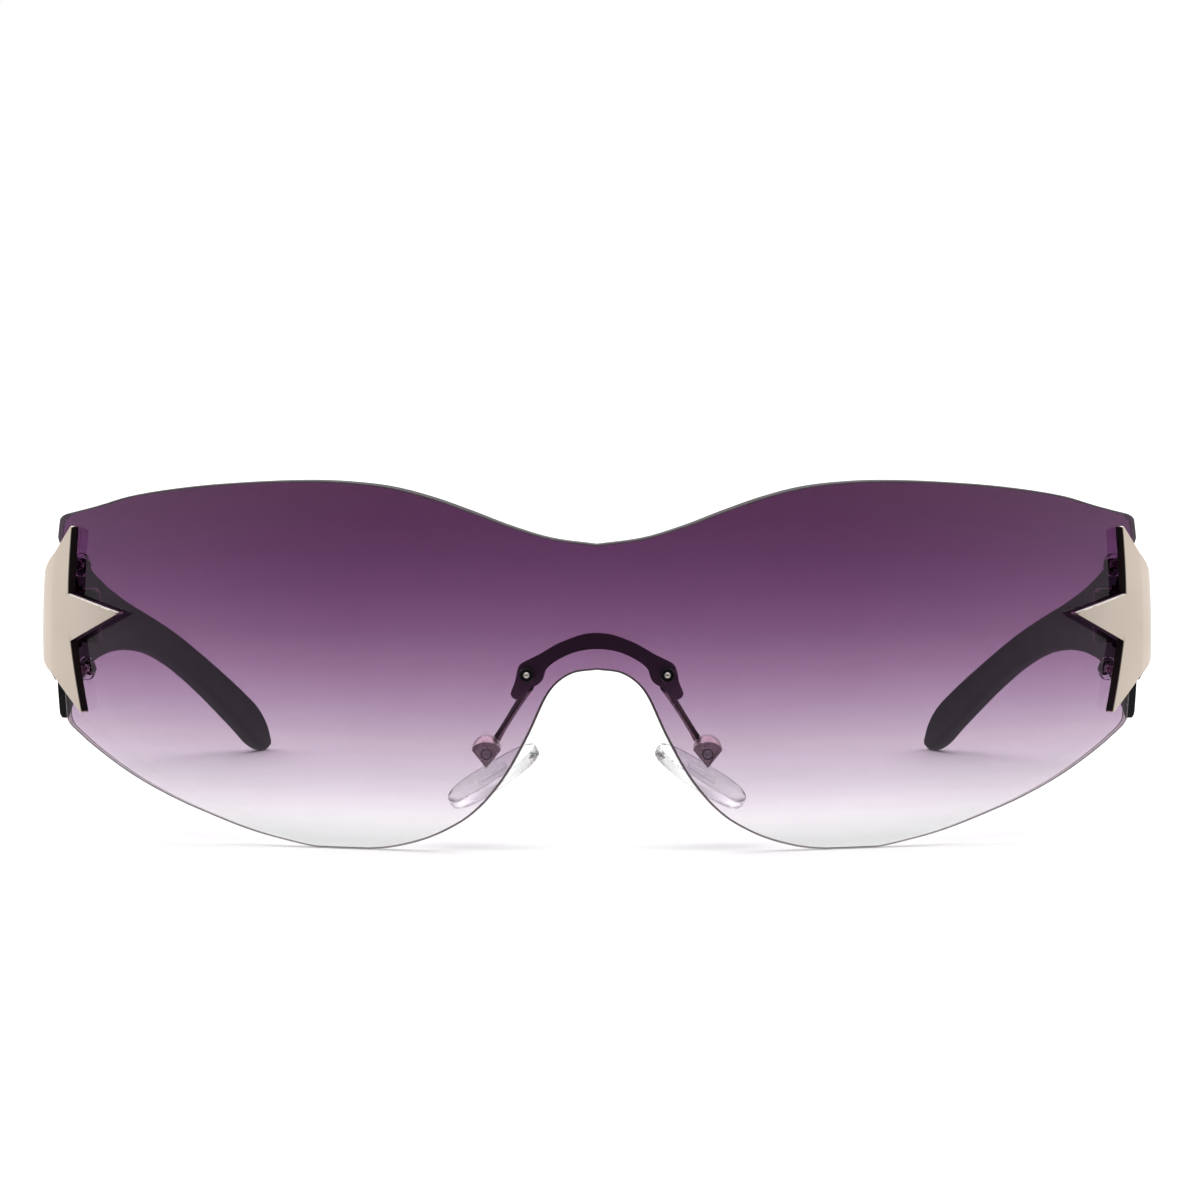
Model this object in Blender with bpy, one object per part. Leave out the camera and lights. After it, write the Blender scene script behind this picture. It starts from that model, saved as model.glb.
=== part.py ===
"""Rimless wraparound sunglasses: a one-piece shield lens with a metal star at each end.

Metres, +Z up. The glasses stand on the two low edges of the lens and on the temple tips.
The lens faces -Y and the temples reach back along +Y. The wearer's left is +X. Every sided
piece is modelled for the left and mirrored for the right.
"""

import math

import bmesh
import bpy
from mathutils import Matrix, Vector

# Lens
LENS_HALF_CHORD = 0.0702
LENS_HEIGHT = 0.0472
LENS_THICKNESS = 0.0020
LENS_RADIUS = 0.1080
LENS_UPRIGHT_RADIUS = 0.0920
LENS_CORNER_RADIUS = 0.0007
LENS_WAIST_SHARE = 0.55
LENS_FLARE = 0.00145
LENS_FLARE_WIDTH = 0.0060
LENS_FLARE_RISE = 0.0022
LENS_FLARE_SHARE = 0.775

# Bridge plate behind the lens
BRIDGE_PIN_SPREAD = 0.0089
BRIDGE_PIN_HEIGHT_SHARE = 0.485
BRIDGE_THICKNESS = 0.0012
BRIDGE_PIN_RADIUS = 0.0004
BRIDGE_PIN_PROUD = 0.00022
BRIDGE_HEAD_RADIUS = 0.0010
BRIDGE_HEAD_HEIGHT = 0.0005
BUSH_RADIUS = 0.00085
BUSH_PROUD = 0.00012

# Nose pads
PAD_BOX_SPREAD = 0.01425
PAD_BOX_HEIGHT = 0.0118
PAD_BOX_DEPTH = 0.0135
PAD_BOX_RADIUS = 0.00185
PAD_BOX_DOME_RISE = 0.0005
PAD_BOX_POINT_DROP = 0.0018
PAD_BOX_LENGTH = 0.0026
PAD_BOX_FACE_RISE = 0.00105
PAD_BOX_CHAMFER = 0.0009
PAD_BOX_WALL = 0.0006
PAD_SCREW_RADIUS = 0.00035
PAD_SCREW_HEAD_RADIUS = 0.00062
PAD_SCREW_HEAD_HEIGHT = 0.0002
PAD_SINK_RADIUS = 0.00072
PAD_SINK_DEPTH = 0.00035
PAD_DROP = 0.00325
PAD_SHIFT = 0.0007
PAD_LENGTH = 0.0132
PAD_WIDTH = 0.0070
PAD_THICKNESS = 0.0020
PAD_TAPER_SHARE = 0.12
PAD_RISE_ANGLE = math.radians(32.0)
PAD_SPLAY_ANGLE = math.radians(16.0)
INSERT_LENGTH = 0.0040
INSERT_WIDTH = 0.0026
INSERT_THICKNESS = 0.0006
INSERT_EYE_RADIUS = 0.00085
PAD_ARM_RADIUS = 0.0005
PAD_ARM_ROOT_DROP = 0.00175
PAD_ARM_SEAT_ANGLE = math.radians(46.0)

# Stars and the pegs that hold them to the lens
STAR_TIP_RADIUS = 0.01285
STAR_NOTCH_RADIUS = 0.00515
STAR_THICKNESS = 0.00135
STAR_HEIGHT_SHARE = 0.602
STAR_PAST_BEND = 0.0010
STAR_TILT_ANGLE = math.radians(5.5)
STAR_LEAN_SHARE = 0.075
STAR_LOWER_SHARE = 1.05
STAR_TOE_IN_ANGLE = math.radians(4.0)
STAR_BEND_LEAD = 0.0003
STAR_STRIP = 0.0018
STAR_BEND_STRIP = 0.0006
PEG_REACH = 0.0075
PEG_FORWARD = 0.0005
PEG_RADIUS = 0.00055
PEG_END = 0.0002
WASHER_RADIUS = 0.00155
WASHER_THICKNESS = 0.0004
NUT_RADIUS = 0.0010
NUT_HEIGHT = 0.0006

# Temples
TEMPLE_LENGTH = 0.1215
TEMPLE_OVERHANG = 0.0011
TEMPLE_FRONT_THICKNESS = 0.0030
TEMPLE_THICKNESS = 0.0024
TEMPLE_FRONT_GAP = 0.0010
TEMPLE_FLARE_LENGTH = 0.0240
TEMPLE_RELIEF = 0.0016
TEMPLE_RELIEF_LENGTH = 0.0140
TEMPLE_RELIEF_RISE = 0.0040
TEMPLE_TIP_INSET = 0.0176
TEMPLE_BEND_SHARE = 0.30
TEMPLE_BEND_POWER = 1.85
TEMPLE_CAP_LENGTH = 0.0070
TEMPLE_CAP_SHARE = 0.98
TEMPLE_SLIM_SHARE = 0.45
TEMPLE_EDGE_RADIUS = 0.0009

# Hinges
HINGE_INSET = 0.0015
HINGE_SETBACK = 0.0008
KNUCKLE_RADIUS = 0.0014
KNUCKLE_HEIGHT = 0.0024
BRACKET_HEIGHT = 0.0066
BRACKET_DEPTH = 0.0024
LEAF_HEIGHT = 0.0060
LEAF_LENGTH = 0.0116
LEAF_THICKNESS = 0.0010
LEAF_START = 0.0024
HINGE_SCREW_RADIUS = 0.0006
HINGE_HEAD_RADIUS = 0.0011
HINGE_HEAD_HEIGHT = 0.0004
NOTCH_MARGIN = 0.0008
NOTCH_LENGTH = 0.0042
RIVET_RADIUS = 0.0005
RIVET_HEAD_RADIUS = 0.0009
RIVET_HEAD_HEIGHT = 0.0003
RIVET_DEPTH = 0.0016
RIVET_PLACES = (0.0062, 0.0094)

# Clearances
SEAT_GAP = 0.0003
SNUG_GAP = 0.0001
FINE_GAP = 0.00005
OVERRUN = 0.0010

# Outlines, as pairs of position share and value share
LENS_TOP_SHARES = (
    (0.0, 0.835), (0.085, 0.852), (0.16, 0.884), (0.233, 0.923), (0.308, 0.959),
    (0.383, 0.985), (0.46, 0.997), (0.54, 1.0), (0.65, 0.993), (0.765, 0.977),
    (0.88, 0.948), (0.957, 0.911), (1.0, 0.888),
)
LENS_BOTTOM_SHARES = (
    (0.0, 0.4995), (0.049, 0.486), (0.087, 0.436), (0.124, 0.323), (0.162, 0.222),
    (0.2, 0.148), (0.237, 0.097), (0.274, 0.063), (0.312, 0.037), (0.35, 0.019),
    (0.39, 0.006), (0.43, 0.0), (0.48, -0.003), (0.53, 0.0), (0.58, 0.013),
    (0.655, 0.039), (0.73, 0.077), (0.805, 0.121), (0.88, 0.178), (0.95, 0.249),
    (1.0, 0.312),
)
TEMPLE_TOP_SHARES = (
    (0.0, 0.772), (0.03, 0.772), (0.06, 0.764), (0.1, 0.746), (0.15, 0.722), (0.2, 0.699),
    (0.3, 0.658), (0.4, 0.612), (0.5, 0.56), (0.6, 0.504), (0.7, 0.434), (0.8, 0.342),
    (0.9, 0.232), (1.0, 0.1),
)
TEMPLE_BOTTOM_SHARES = (
    (0.0, 0.32), (0.035, 0.356), (0.07, 0.389), (0.1, 0.412), (0.15, 0.434), (0.2, 0.441),
    (0.3, 0.439), (0.4, 0.434), (0.5, 0.42), (0.6, 0.389), (0.7, 0.325), (0.8, 0.227),
    (0.9, 0.102), (0.96, 0.014), (1.0, -0.05),
)
BRIDGE_SHARES = (
    (0.0, 0.587), (0.169, 0.573), (0.31, 0.535), (0.451, 0.484), (0.592, 0.423), (0.74, 0.338),
    (0.873, 0.263), (0.995, 0.205), (1.108, 0.146), (1.155, 0.06), (1.174, -0.028), (1.2, -0.135),
    (1.239, -0.225), (1.256, -0.29), (1.225, -0.347), (1.165, -0.368), (1.108, -0.352),
    (1.042, -0.291), (0.967, -0.202), (0.873, -0.16), (0.8, -0.095), (0.77, -0.02),
    (0.742, 0.061), (0.66, 0.142), (0.526, 0.225), (0.38, 0.292), (0.2, 0.34), (0.0, 0.357),
)
PAD_LEVEL_SHARES = (
    (1.0, 0.93), (0.86, 1.0), (-0.1, 1.0), (-0.42, 0.92), (-0.7, 0.76), (-0.9, 0.52), (-1.0, 0.22),
)
PAD_ARM_DEPTH_SHARES = ((0.0, 0.0), (0.25, 0.32), (0.5, 0.62), (0.75, 0.86), (1.0, 1.0))

# Fineness of the meshes, as counts
NOTCH_COLUMNS = 15
SIDE_COLUMNS = 22
CORNER_COLUMNS = 3
LENS_ROWS = 8
TEMPLE_STATIONS = 34
TEMPLE_SIDE_STEPS = 6
CORNER_POINTS = 3
ROUND_SIDES = 16
WIRE_SIDES = 8
WIRE_STEPS = 9
PAD_AROUND = 32
NUT_SIDES = 6
STAR_ARMS = 5
RIBBON_STEPS = 14
NOTCH_ZONE_SHARE = 0.27
OUTLINE_STEPS = 3
PAD_SQUARENESS = 2.8
SMOOTH_ANGLE = math.radians(35.0)

# Places that follow from the sizes
LENS_WAIST = LENS_WAIST_SHARE * LENS_HEIGHT
LENS_END_ANGLE = math.asin(LENS_HALF_CHORD / LENS_RADIUS)
LENS_END_DEPTH = LENS_RADIUS - (LENS_RADIUS - LENS_THICKNESS) * math.cos(LENS_END_ANGLE)
TEMPLE_FRONT_DEPTH = LENS_END_DEPTH + TEMPLE_FRONT_GAP
OVERALL_DEPTH = TEMPLE_FRONT_DEPTH + TEMPLE_LENGTH
TEMPLE_OUTER_X = LENS_HALF_CHORD + TEMPLE_OVERHANG
TEMPLE_INNER_X = TEMPLE_OUTER_X - TEMPLE_FRONT_THICKNESS
STAR_INNER_X = TEMPLE_OUTER_X + SEAT_GAP
STAR_HEIGHT = STAR_HEIGHT_SHARE * LENS_HEIGHT
HINGE_X = TEMPLE_INNER_X - HINGE_INSET
HINGE_DEPTH = TEMPLE_FRONT_DEPTH + HINGE_SETBACK
BRIDGE_PIN_HEIGHT = BRIDGE_PIN_HEIGHT_SHARE * LENS_HEIGHT
BRIDGE_BACK = LENS_THICKNESS + SNUG_GAP + BRIDGE_THICKNESS

# The path of a star's inner face: along the lens, round a bend, then back along the temple
STAR_PATH_RADIUS = LENS_RADIUS + SEAT_GAP
BEND_START_ANGLE = LENS_END_ANGLE + STAR_BEND_LEAD / STAR_PATH_RADIUS
BEND_END_ANGLE = math.radians(90.0) + STAR_TOE_IN_ANGLE
BEND_START_X = STAR_PATH_RADIUS * math.sin(BEND_START_ANGLE)
BEND_RADIUS = (STAR_INNER_X - BEND_START_X) / (1 - math.sin(BEND_START_ANGLE))
BEND_X = BEND_START_X - BEND_RADIUS * math.sin(BEND_START_ANGLE)
BEND_DEPTH = (
    LENS_RADIUS - STAR_PATH_RADIUS * math.cos(BEND_START_ANGLE)
    + BEND_RADIUS * math.cos(BEND_START_ANGLE)
)
BEND_ARC = BEND_RADIUS * (BEND_END_ANGLE - BEND_START_ANGLE)

# Colours in linear light: red, green, blue
LENS_COLOUR = (0.22, 0.09, 0.20)
NICKEL_COLOUR = (0.62, 0.55, 0.48)
CHARCOAL_COLOUR = (0.025, 0.026, 0.028)
GUNMETAL_COLOUR = (0.035, 0.030, 0.034)
BLACK_COLOUR = (0.012, 0.012, 0.013)
STEEL_COLOUR = (0.55, 0.54, 0.52)
SILICONE_COLOUR = (0.80, 0.82, 0.84)
CLEAR_COLOUR = (0.78, 0.76, 0.80)

SIDE_WORDS = {1: "left", -1: "right"}


def clear_scene():
    for existing in list(bpy.data.objects):
        bpy.data.objects.remove(existing, do_unlink=True)


def make_material(name, colour, roughness, metallic=0.0, alpha=1.0):
    material = bpy.data.materials.new(name)
    material.use_nodes = True
    shader = material.node_tree.nodes["Principled BSDF"]
    shader.inputs["Base Color"].default_value = (*colour, 1.0)
    shader.inputs["Roughness"].default_value = roughness
    shader.inputs["Metallic"].default_value = metallic
    shader.inputs["Alpha"].default_value = alpha
    return material


def smooth_value(pairs, position):
    """Read a smooth curve through (position, value) pairs."""
    places = [pair[0] for pair in pairs]
    values = [pair[1] for pair in pairs]
    position = min(max(position, places[0]), places[-1])
    index = max(i for i in range(len(places) - 1) if places[i] <= position)

    def slope(i):
        low, high = max(i - 1, 0), min(i + 1, len(places) - 1)
        return (values[high] - values[low]) / (places[high] - places[low])

    span = places[index + 1] - places[index]
    t = (position - places[index]) / span
    start, end = values[index], values[index + 1]
    return (
        start * (2 * t**3 - 3 * t**2 + 1) + end * (3 * t**2 - 2 * t**3)
        + span * (slope(index) * (t**3 - 2 * t**2 + t) + slope(index + 1) * (t**3 - t**2))
    )


def spread(start, end, count):
    """Evenly spaced values from start to end, both included."""
    return [start + (end - start) * i / count for i in range(count + 1)]


def in_frame(point):
    """Turn (across, depth behind the lens's front, height) into the model's frame."""
    return Vector((point[0], point[1] - OVERALL_DEPTH / 2, point[2]))


def lens_bow(height):
    """How far the lens falls back from its waist at a height."""
    return (height - LENS_WAIST) ** 2 / (2 * LENS_UPRIGHT_RADIUS)


def lens_point(angle, height, lift):
    """A point at an angle round the lens, lifted outwards from its front surface."""
    radius = LENS_RADIUS + lift - lens_bow(height)
    return Vector((radius * math.sin(angle), LENS_RADIUS - radius * math.cos(angle), height))


def lens_angle(nominal, height):
    """The angle of a place on the lens: its upper corners flare outwards past the stars."""
    shares = (
        (height - LENS_FLARE_SHARE * LENS_HEIGHT) / LENS_FLARE_RISE,
        1 - (LENS_HALF_CHORD - abs(nominal)) / LENS_FLARE_WIDTH,
    )
    above, outside = [min(max(share, 0), 1) for share in shares]
    reach = nominal + math.copysign(LENS_FLARE * above * outside**2, nominal)
    return math.asin(reach / LENS_RADIUS)


def lens_normal(angle, height):
    """The outward direction of the lens at a place."""
    lean = (height - LENS_WAIST) / LENS_UPRIGHT_RADIUS
    return Vector((math.sin(angle), -math.cos(angle), lean)).normalized()


def star_point(run, height, lift):
    """A point over the star's path: run is measured from the bend, positive towards the back."""
    bow = lens_bow(height)
    if run <= 0:
        return lens_point(BEND_START_ANGLE + run / STAR_PATH_RADIUS, height, SEAT_GAP + lift)
    angle = min(BEND_START_ANGLE + run / BEND_RADIUS, BEND_END_ANGLE)
    straight = max(run - BEND_ARC, 0)
    out = Vector((math.sin(angle), -math.cos(angle), 0))
    along = Vector((math.cos(angle), math.sin(angle), 0))
    centre = Vector((BEND_X, BEND_DEPTH, height))
    end_out = Vector((math.sin(BEND_START_ANGLE), -math.cos(BEND_START_ANGLE), 0))
    return centre + out * (BEND_RADIUS + lift) + along * straight - end_out * bow


def star_inner_x(depth):
    """How far out the star's inner face lies beside the temple."""
    back = max(depth - BEND_DEPTH, 0)
    return STAR_INNER_X - back * math.tan(STAR_TOE_IN_ANGLE)


def temple_inner_x(run):
    into_bend = max(run - TEMPLE_BEND_SHARE, 0) / (1 - TEMPLE_BEND_SHARE)
    return TEMPLE_INNER_X - TEMPLE_TIP_INSET * into_bend**TEMPLE_BEND_POWER


def face_out(bm):
    """Point every face of a closed body outwards."""
    bmesh.ops.recalc_face_normals(bm, faces=bm.faces)
    if bm.calc_volume(signed=True) < 0:
        bmesh.ops.reverse_faces(bm, faces=bm.faces)
    return bm


def new_mesh(rings, close_loop=False):
    """Skin a list of rings with equal numbers of points, and close its ends or its loop."""
    bm = bmesh.new()
    layers = [[bm.verts.new(point) for point in ring] for ring in rings]
    pairs = list(zip(layers, layers[1:]))
    if close_loop:
        pairs.append((layers[-1], layers[0]))
    else:
        bm.faces.new(layers[0])
        bm.faces.new(layers[-1])
    for low, high in pairs:
        for i in range(len(low)):
            j = (i + 1) % len(low)
            bm.faces.new((low[i], low[j], high[j], high[i]))
    return face_out(bm)


def prism(outline, low, high):
    """An upright body over a flat outline of (u, v) points, from low to high."""
    return new_mesh([[(u, v, w) for u, v in outline] for w in (low, high)])


def mapped(bm, mapping, cuts=()):
    """Cut a body along (position, axis) planes, then move each point by a mapping."""
    bmesh.ops.triangulate(bm, faces=bm.faces)
    for position, axis in cuts:
        geometry = list(bm.verts) + list(bm.edges) + list(bm.faces)
        bmesh.ops.bisect_plane(bm, geom=geometry, plane_co=axis * position, plane_no=axis)
    bmesh.ops.triangulate(bm, faces=bm.faces)
    for vertex in bm.verts:
        vertex.co = mapping(*vertex.co)
    return face_out(bm)


def circle(centre, radius, first, second, sides):
    """Points round a centre in the plane of two unit directions."""
    points = []
    for i in range(sides):
        angle = 2 * math.pi * (i + 0.5) / sides
        points.append(centre + radius * (math.cos(angle) * first + math.sin(angle) * second))
    return points


def turned(profile, base, axis, sides=ROUND_SIDES, ring=False):
    """A turned body from (radius, distance along the axis) pairs; a ring has a bore."""
    axis = axis.normalized()
    first = axis.orthogonal().normalized()
    second = axis.cross(first)
    rings = [circle(base + axis * along, radius, first, second, sides) for radius, along in profile]
    return new_mesh(rings, close_loop=ring)


def ring_profile(inner, outer, start, end):
    return ((inner, start), (outer, start), (outer, end), (inner, end))


def closed_curve(points, steps):
    """A smooth closed outline through (u, v) points."""
    curve = []
    count = len(points)
    for i in range(count):
        before, start, end, after = [Vector(points[(i + k) % count]) for k in (-1, 0, 1, 2)]
        for step in range(steps):
            t = step / steps
            pull = (end - before) * (t**3 - 2 * t**2 + t) + (after - start) * (t**3 - t**2)
            point = start * (2 * t**3 - 3 * t**2 + 1) + end * (3 * t**2 - 2 * t**3) + pull / 2
            curve.append((point.x, point.y))
    return curve


def rectangle(low, high):
    return ((low[0], low[1]), (high[0], low[1]), (high[0], high[1]), (low[0], high[1]))


def box_mesh(low, high):
    return prism(rectangle(low, high), low[2], high[2])


def rounded_outline(low, high, radius):
    """A rectangle with round corners, as (u, v) points."""
    points = []
    for corner, (u, v) in enumerate(((1, 1), (0, 1), (0, 0), (1, 0))):
        centre_u = (low[0] + radius, high[0] - radius)[u]
        centre_v = (low[1] + radius, high[1] - radius)[v]
        for step in range(CORNER_POINTS + 1):
            angle = math.radians(90.0) * (corner + step / CORNER_POINTS)
            points.append((centre_u + radius * math.cos(angle), centre_v + radius * math.sin(angle)))
    return points


def add_piece(name, bm, material=None, side=1, pivot=None):
    """Make an object of a body built for the left, mirrored where the side is right."""
    if side < 0:
        bmesh.ops.scale(bm, vec=(-1, 1, 1), verts=bm.verts)
        bmesh.ops.reverse_faces(bm, faces=bm.faces)
    if pivot:
        bmesh.ops.translate(bm, vec=-pivot.location, verts=bm.verts)
    mesh = bpy.data.meshes.new(name)
    bm.to_mesh(mesh)
    bm.free()
    piece = bpy.data.objects.new(name, mesh)
    bpy.context.scene.collection.objects.link(piece)
    piece.parent = pivot
    if material:
        mesh.materials.append(material)
        mesh.shade_smooth()
        mesh.set_sharp_from_angle(angle=SMOOTH_ANGLE)
    return piece


def add_pivot(name, location):
    """An empty on a joint's axis, which carries what turns about it."""
    pivot = bpy.data.objects.new(name, None)
    pivot.location = location
    bpy.context.scene.collection.objects.link(pivot)
    return pivot


def combine(piece, bm, operation, side=1):
    """Cut a body out of a piece, or join it on, with a hidden guide object."""
    guide = add_piece(f"guide_{len(bpy.data.objects)}", bm, None, side, piece.parent)
    guide.hide_render = True
    guide.display_type = "WIRE"
    modifier = piece.modifiers.new(operation.title(), "BOOLEAN")
    modifier.operation = operation
    modifier.solver = "EXACT"
    modifier.object = guide


def cut(piece, bm, side=1):
    combine(piece, bm, "DIFFERENCE", side)


def join(piece, bm, side=1):
    combine(piece, bm, "UNION", side)


def mirrored_x(point, side):
    return Vector((point[0] * side, point[1], point[2]))


def bridge_pin_frame():
    """The place of a bridge pin on the lens's front, and the way it points out of it."""
    angle = math.asin(BRIDGE_PIN_SPREAD / LENS_RADIUS)
    place = in_frame(lens_point(angle, BRIDGE_PIN_HEIGHT, 0))
    return place, lens_normal(angle, BRIDGE_PIN_HEIGHT)


def peg_frames():
    """The place on the lens's front and outward direction of a star's two pegs."""
    frames = {}
    for word, arm in (("upper", 1), ("lower", -1)):
        angle = arm * 2 * math.pi / STAR_ARMS + STAR_TILT_ANGLE
        forward = PEG_REACH * math.cos(angle) + PEG_FORWARD * math.sin(abs(angle))
        rise = PEG_REACH * math.sin(angle) - arm * PEG_FORWARD * math.cos(angle)
        around = BEND_START_ANGLE + (STAR_PAST_BEND - forward) / STAR_PATH_RADIUS
        height = STAR_HEIGHT + rise
        frames[word] = (in_frame(lens_point(around, height, 0)), lens_normal(around, height))
    return frames


def lens_edge(nominal):
    """The bottom and top of the lens at a distance across, with its corners rounded."""
    share = nominal / LENS_HALF_CHORD
    into_corner = max(nominal - (LENS_HALF_CHORD - LENS_CORNER_RADIUS), 0)
    drop = LENS_CORNER_RADIUS - math.sqrt(max(LENS_CORNER_RADIUS**2 - into_corner**2, 0))
    bottom = max(smooth_value(LENS_BOTTOM_SHARES, share), 0) * LENS_HEIGHT + drop
    top = smooth_value(LENS_TOP_SHARES, share) * LENS_HEIGHT - drop
    return bottom, top


def make_lens(material):
    """The shield lens: columns from end to end, each a ring through the lens's thickness."""
    corner_start = LENS_HALF_CHORD - LENS_CORNER_RADIUS
    zone = NOTCH_ZONE_SHARE * LENS_HALF_CHORD
    half = spread(0, zone, NOTCH_COLUMNS)[:-1] + spread(zone, corner_start, SIDE_COLUMNS)
    for step in range(1, CORNER_COLUMNS + 1):
        turn = math.radians(90.0) * step / CORNER_COLUMNS
        half.append(corner_start + LENS_CORNER_RADIUS * math.sin(turn))
    rings = []
    for nominal in [-value for value in reversed(half[1:])] + half:
        heights = spread(*lens_edge(abs(nominal)), LENS_ROWS)
        column = [(lens_angle(nominal, height), height) for height in heights]
        front = [in_frame(lens_point(*place, 0)) for place in column]
        back = [in_frame(lens_point(*place, -LENS_THICKNESS)) for place in reversed(column)]
        rings.append(front + back)
    body = new_mesh(rings)
    bmesh.ops.triangulate(body, faces=body.faces)
    lens = add_piece("shield_lens", body, material)
    reach = LENS_THICKNESS + OVERRUN
    for side in (1, -1):
        place, out = bridge_pin_frame()
        bore = ((BUSH_RADIUS + FINE_GAP, -reach), (BUSH_RADIUS + FINE_GAP, OVERRUN))
        cut(lens, turned(bore, place, out), side)
        for place, out in peg_frames().values():
            bore = ((PEG_RADIUS + SNUG_GAP, -reach), (PEG_RADIUS + SNUG_GAP, OVERRUN))
            cut(lens, turned(bore, place, out), side)
    return lens


def bridge_outline():
    """The plate's outline: an arch with a lobe round each pin and a toe below it."""
    half = []
    for across, rise in BRIDGE_SHARES:
        half.append((across * BRIDGE_PIN_SPREAD, BRIDGE_PIN_HEIGHT + rise * BRIDGE_PIN_SPREAD))
    return closed_curve(half + [(-u, v) for u, v in reversed(half[1:-1])], OUTLINE_STEPS)


def make_bridge(metal, steel, black):
    """The arched plate behind the lens, with a pin and a bush through the lens at each end."""
    outline = bridge_outline()
    across = max(u for u, v in outline)

    def behind_lens(u, v, w):
        lift = -(LENS_THICKNESS + SNUG_GAP + w)
        return in_frame(lens_point(math.asin(u / LENS_RADIUS), v, lift))

    cuts = [(position, Vector((1, 0, 0))) for position in spread(-across, across, RIBBON_STEPS)]
    body = mapped(prism(outline, 0, BRIDGE_THICKNESS), behind_lens, cuts)
    plate = add_piece("bridge_plate", body, metal)
    bore = BRIDGE_PIN_RADIUS + FINE_GAP
    for side in (1, -1):
        place, out = bridge_pin_frame()
        through = ((bore, -BRIDGE_BACK - OVERRUN), (bore, -LENS_THICKNESS + OVERRUN))
        cut(plate, turned(through, place, out), side)
        head = -BRIDGE_BACK - SNUG_GAP
        pin = (
            (BRIDGE_HEAD_RADIUS, head - BRIDGE_HEAD_HEIGHT), (BRIDGE_HEAD_RADIUS, head),
            (BRIDGE_PIN_RADIUS, head), (BRIDGE_PIN_RADIUS, BRIDGE_PIN_PROUD),
        )
        add_piece(f"bridge_pin_{SIDE_WORDS[side]}", turned(pin, place, out), steel, side)
        bush = ring_profile(bore, BUSH_RADIUS, -LENS_THICKNESS, BUSH_PROUD)
        body = turned(bush, place, out, ring=True)
        add_piece(f"bridge_bush_{SIDE_WORDS[side]}", body, black, side)


def star_outline():
    """The star's corners as (run, rise): its upper and lower arms lean a little forward."""
    outline = []
    for corner in range(2 * STAR_ARMS):
        radius = (STAR_TIP_RADIUS, STAR_NOTCH_RADIUS)[corner % 2]
        angle = math.pi * corner / STAR_ARMS + STAR_TILT_ANGLE
        rise = radius * math.sin(angle)
        rise *= STAR_LOWER_SHARE if rise < 0 else 1
        lean = STAR_LEAN_SHARE * rise**2 / STAR_TIP_RADIUS
        outline.append((STAR_PAST_BEND - radius * math.cos(angle) - lean, rise))
    return outline


def make_star(side, material):
    """A five-pointed star over the lens end and the temple, with two pegs cast on."""
    outline = star_outline()
    front, back = STAR_PAST_BEND - STAR_TIP_RADIUS, STAR_PAST_BEND + STAR_TIP_RADIUS
    runs = spread(front, 0, math.ceil(-front / STAR_STRIP))[1:-1]
    runs += spread(0, BEND_ARC, math.ceil(BEND_ARC / STAR_BEND_STRIP))
    runs += [(BEND_ARC + back) / 2]
    rises = spread(-STAR_TIP_RADIUS, STAR_TIP_RADIUS, 2 * STAR_ARMS)[1:-1]
    cuts = [(run, Vector((1, 0, 0))) for run in runs] + [(rise, Vector((0, 1, 0))) for rise in rises]

    def over_lens(run, rise, lift):
        return in_frame(star_point(run, STAR_HEIGHT + rise, lift))

    body = mapped(prism(outline, 0, STAR_THICKNESS), over_lens, cuts)
    star = add_piece(f"star_{SIDE_WORDS[side]}", body, material, side)
    end = LENS_THICKNESS + SNUG_GAP + WASHER_THICKNESS + SNUG_GAP + NUT_HEIGHT + PEG_END
    for place, out in peg_frames().values():
        peg = ((PEG_RADIUS, -end), (PEG_RADIUS, SEAT_GAP + STAR_THICKNESS / 2))
        join(star, turned(peg, place, out), side)


def make_peg_fittings(side, clear, metal):
    """The washer and the nut on each peg, against the inner face of the lens."""
    bore = PEG_RADIUS + SNUG_GAP
    for word, (place, out) in peg_frames().items():
        seat = -(LENS_THICKNESS + SNUG_GAP)
        washer = ring_profile(bore, WASHER_RADIUS, seat - WASHER_THICKNESS, seat)
        name = f"peg_washer_{word}_{SIDE_WORDS[side]}"
        add_piece(name, turned(washer, place, out, ring=True), clear, side)
        seat -= WASHER_THICKNESS + SNUG_GAP
        nut = ring_profile(bore, NUT_RADIUS, seat - NUT_HEIGHT, seat)
        name = f"peg_nut_{word}_{SIDE_WORDS[side]}"
        add_piece(name, turned(nut, place, out, 2 * NUT_SIDES, ring=True), metal, side)


def with_long_sides(outline):
    """Add points along the two upright sides of a rounded outline, so that they can bow."""
    per_corner = CORNER_POINTS + 1
    points = []
    for i, (u, v) in enumerate(outline):
        points.append((u, v))
        if i + 1 in (2 * per_corner, 4 * per_corner):
            next_u, next_v = outline[(i + 1) % len(outline)]
            for share in spread(0, 1, TEMPLE_SIDE_STEPS)[1:-1]:
                points.append((u + (next_u - u) * share, v + (next_v - v) * share))
    return points


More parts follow.
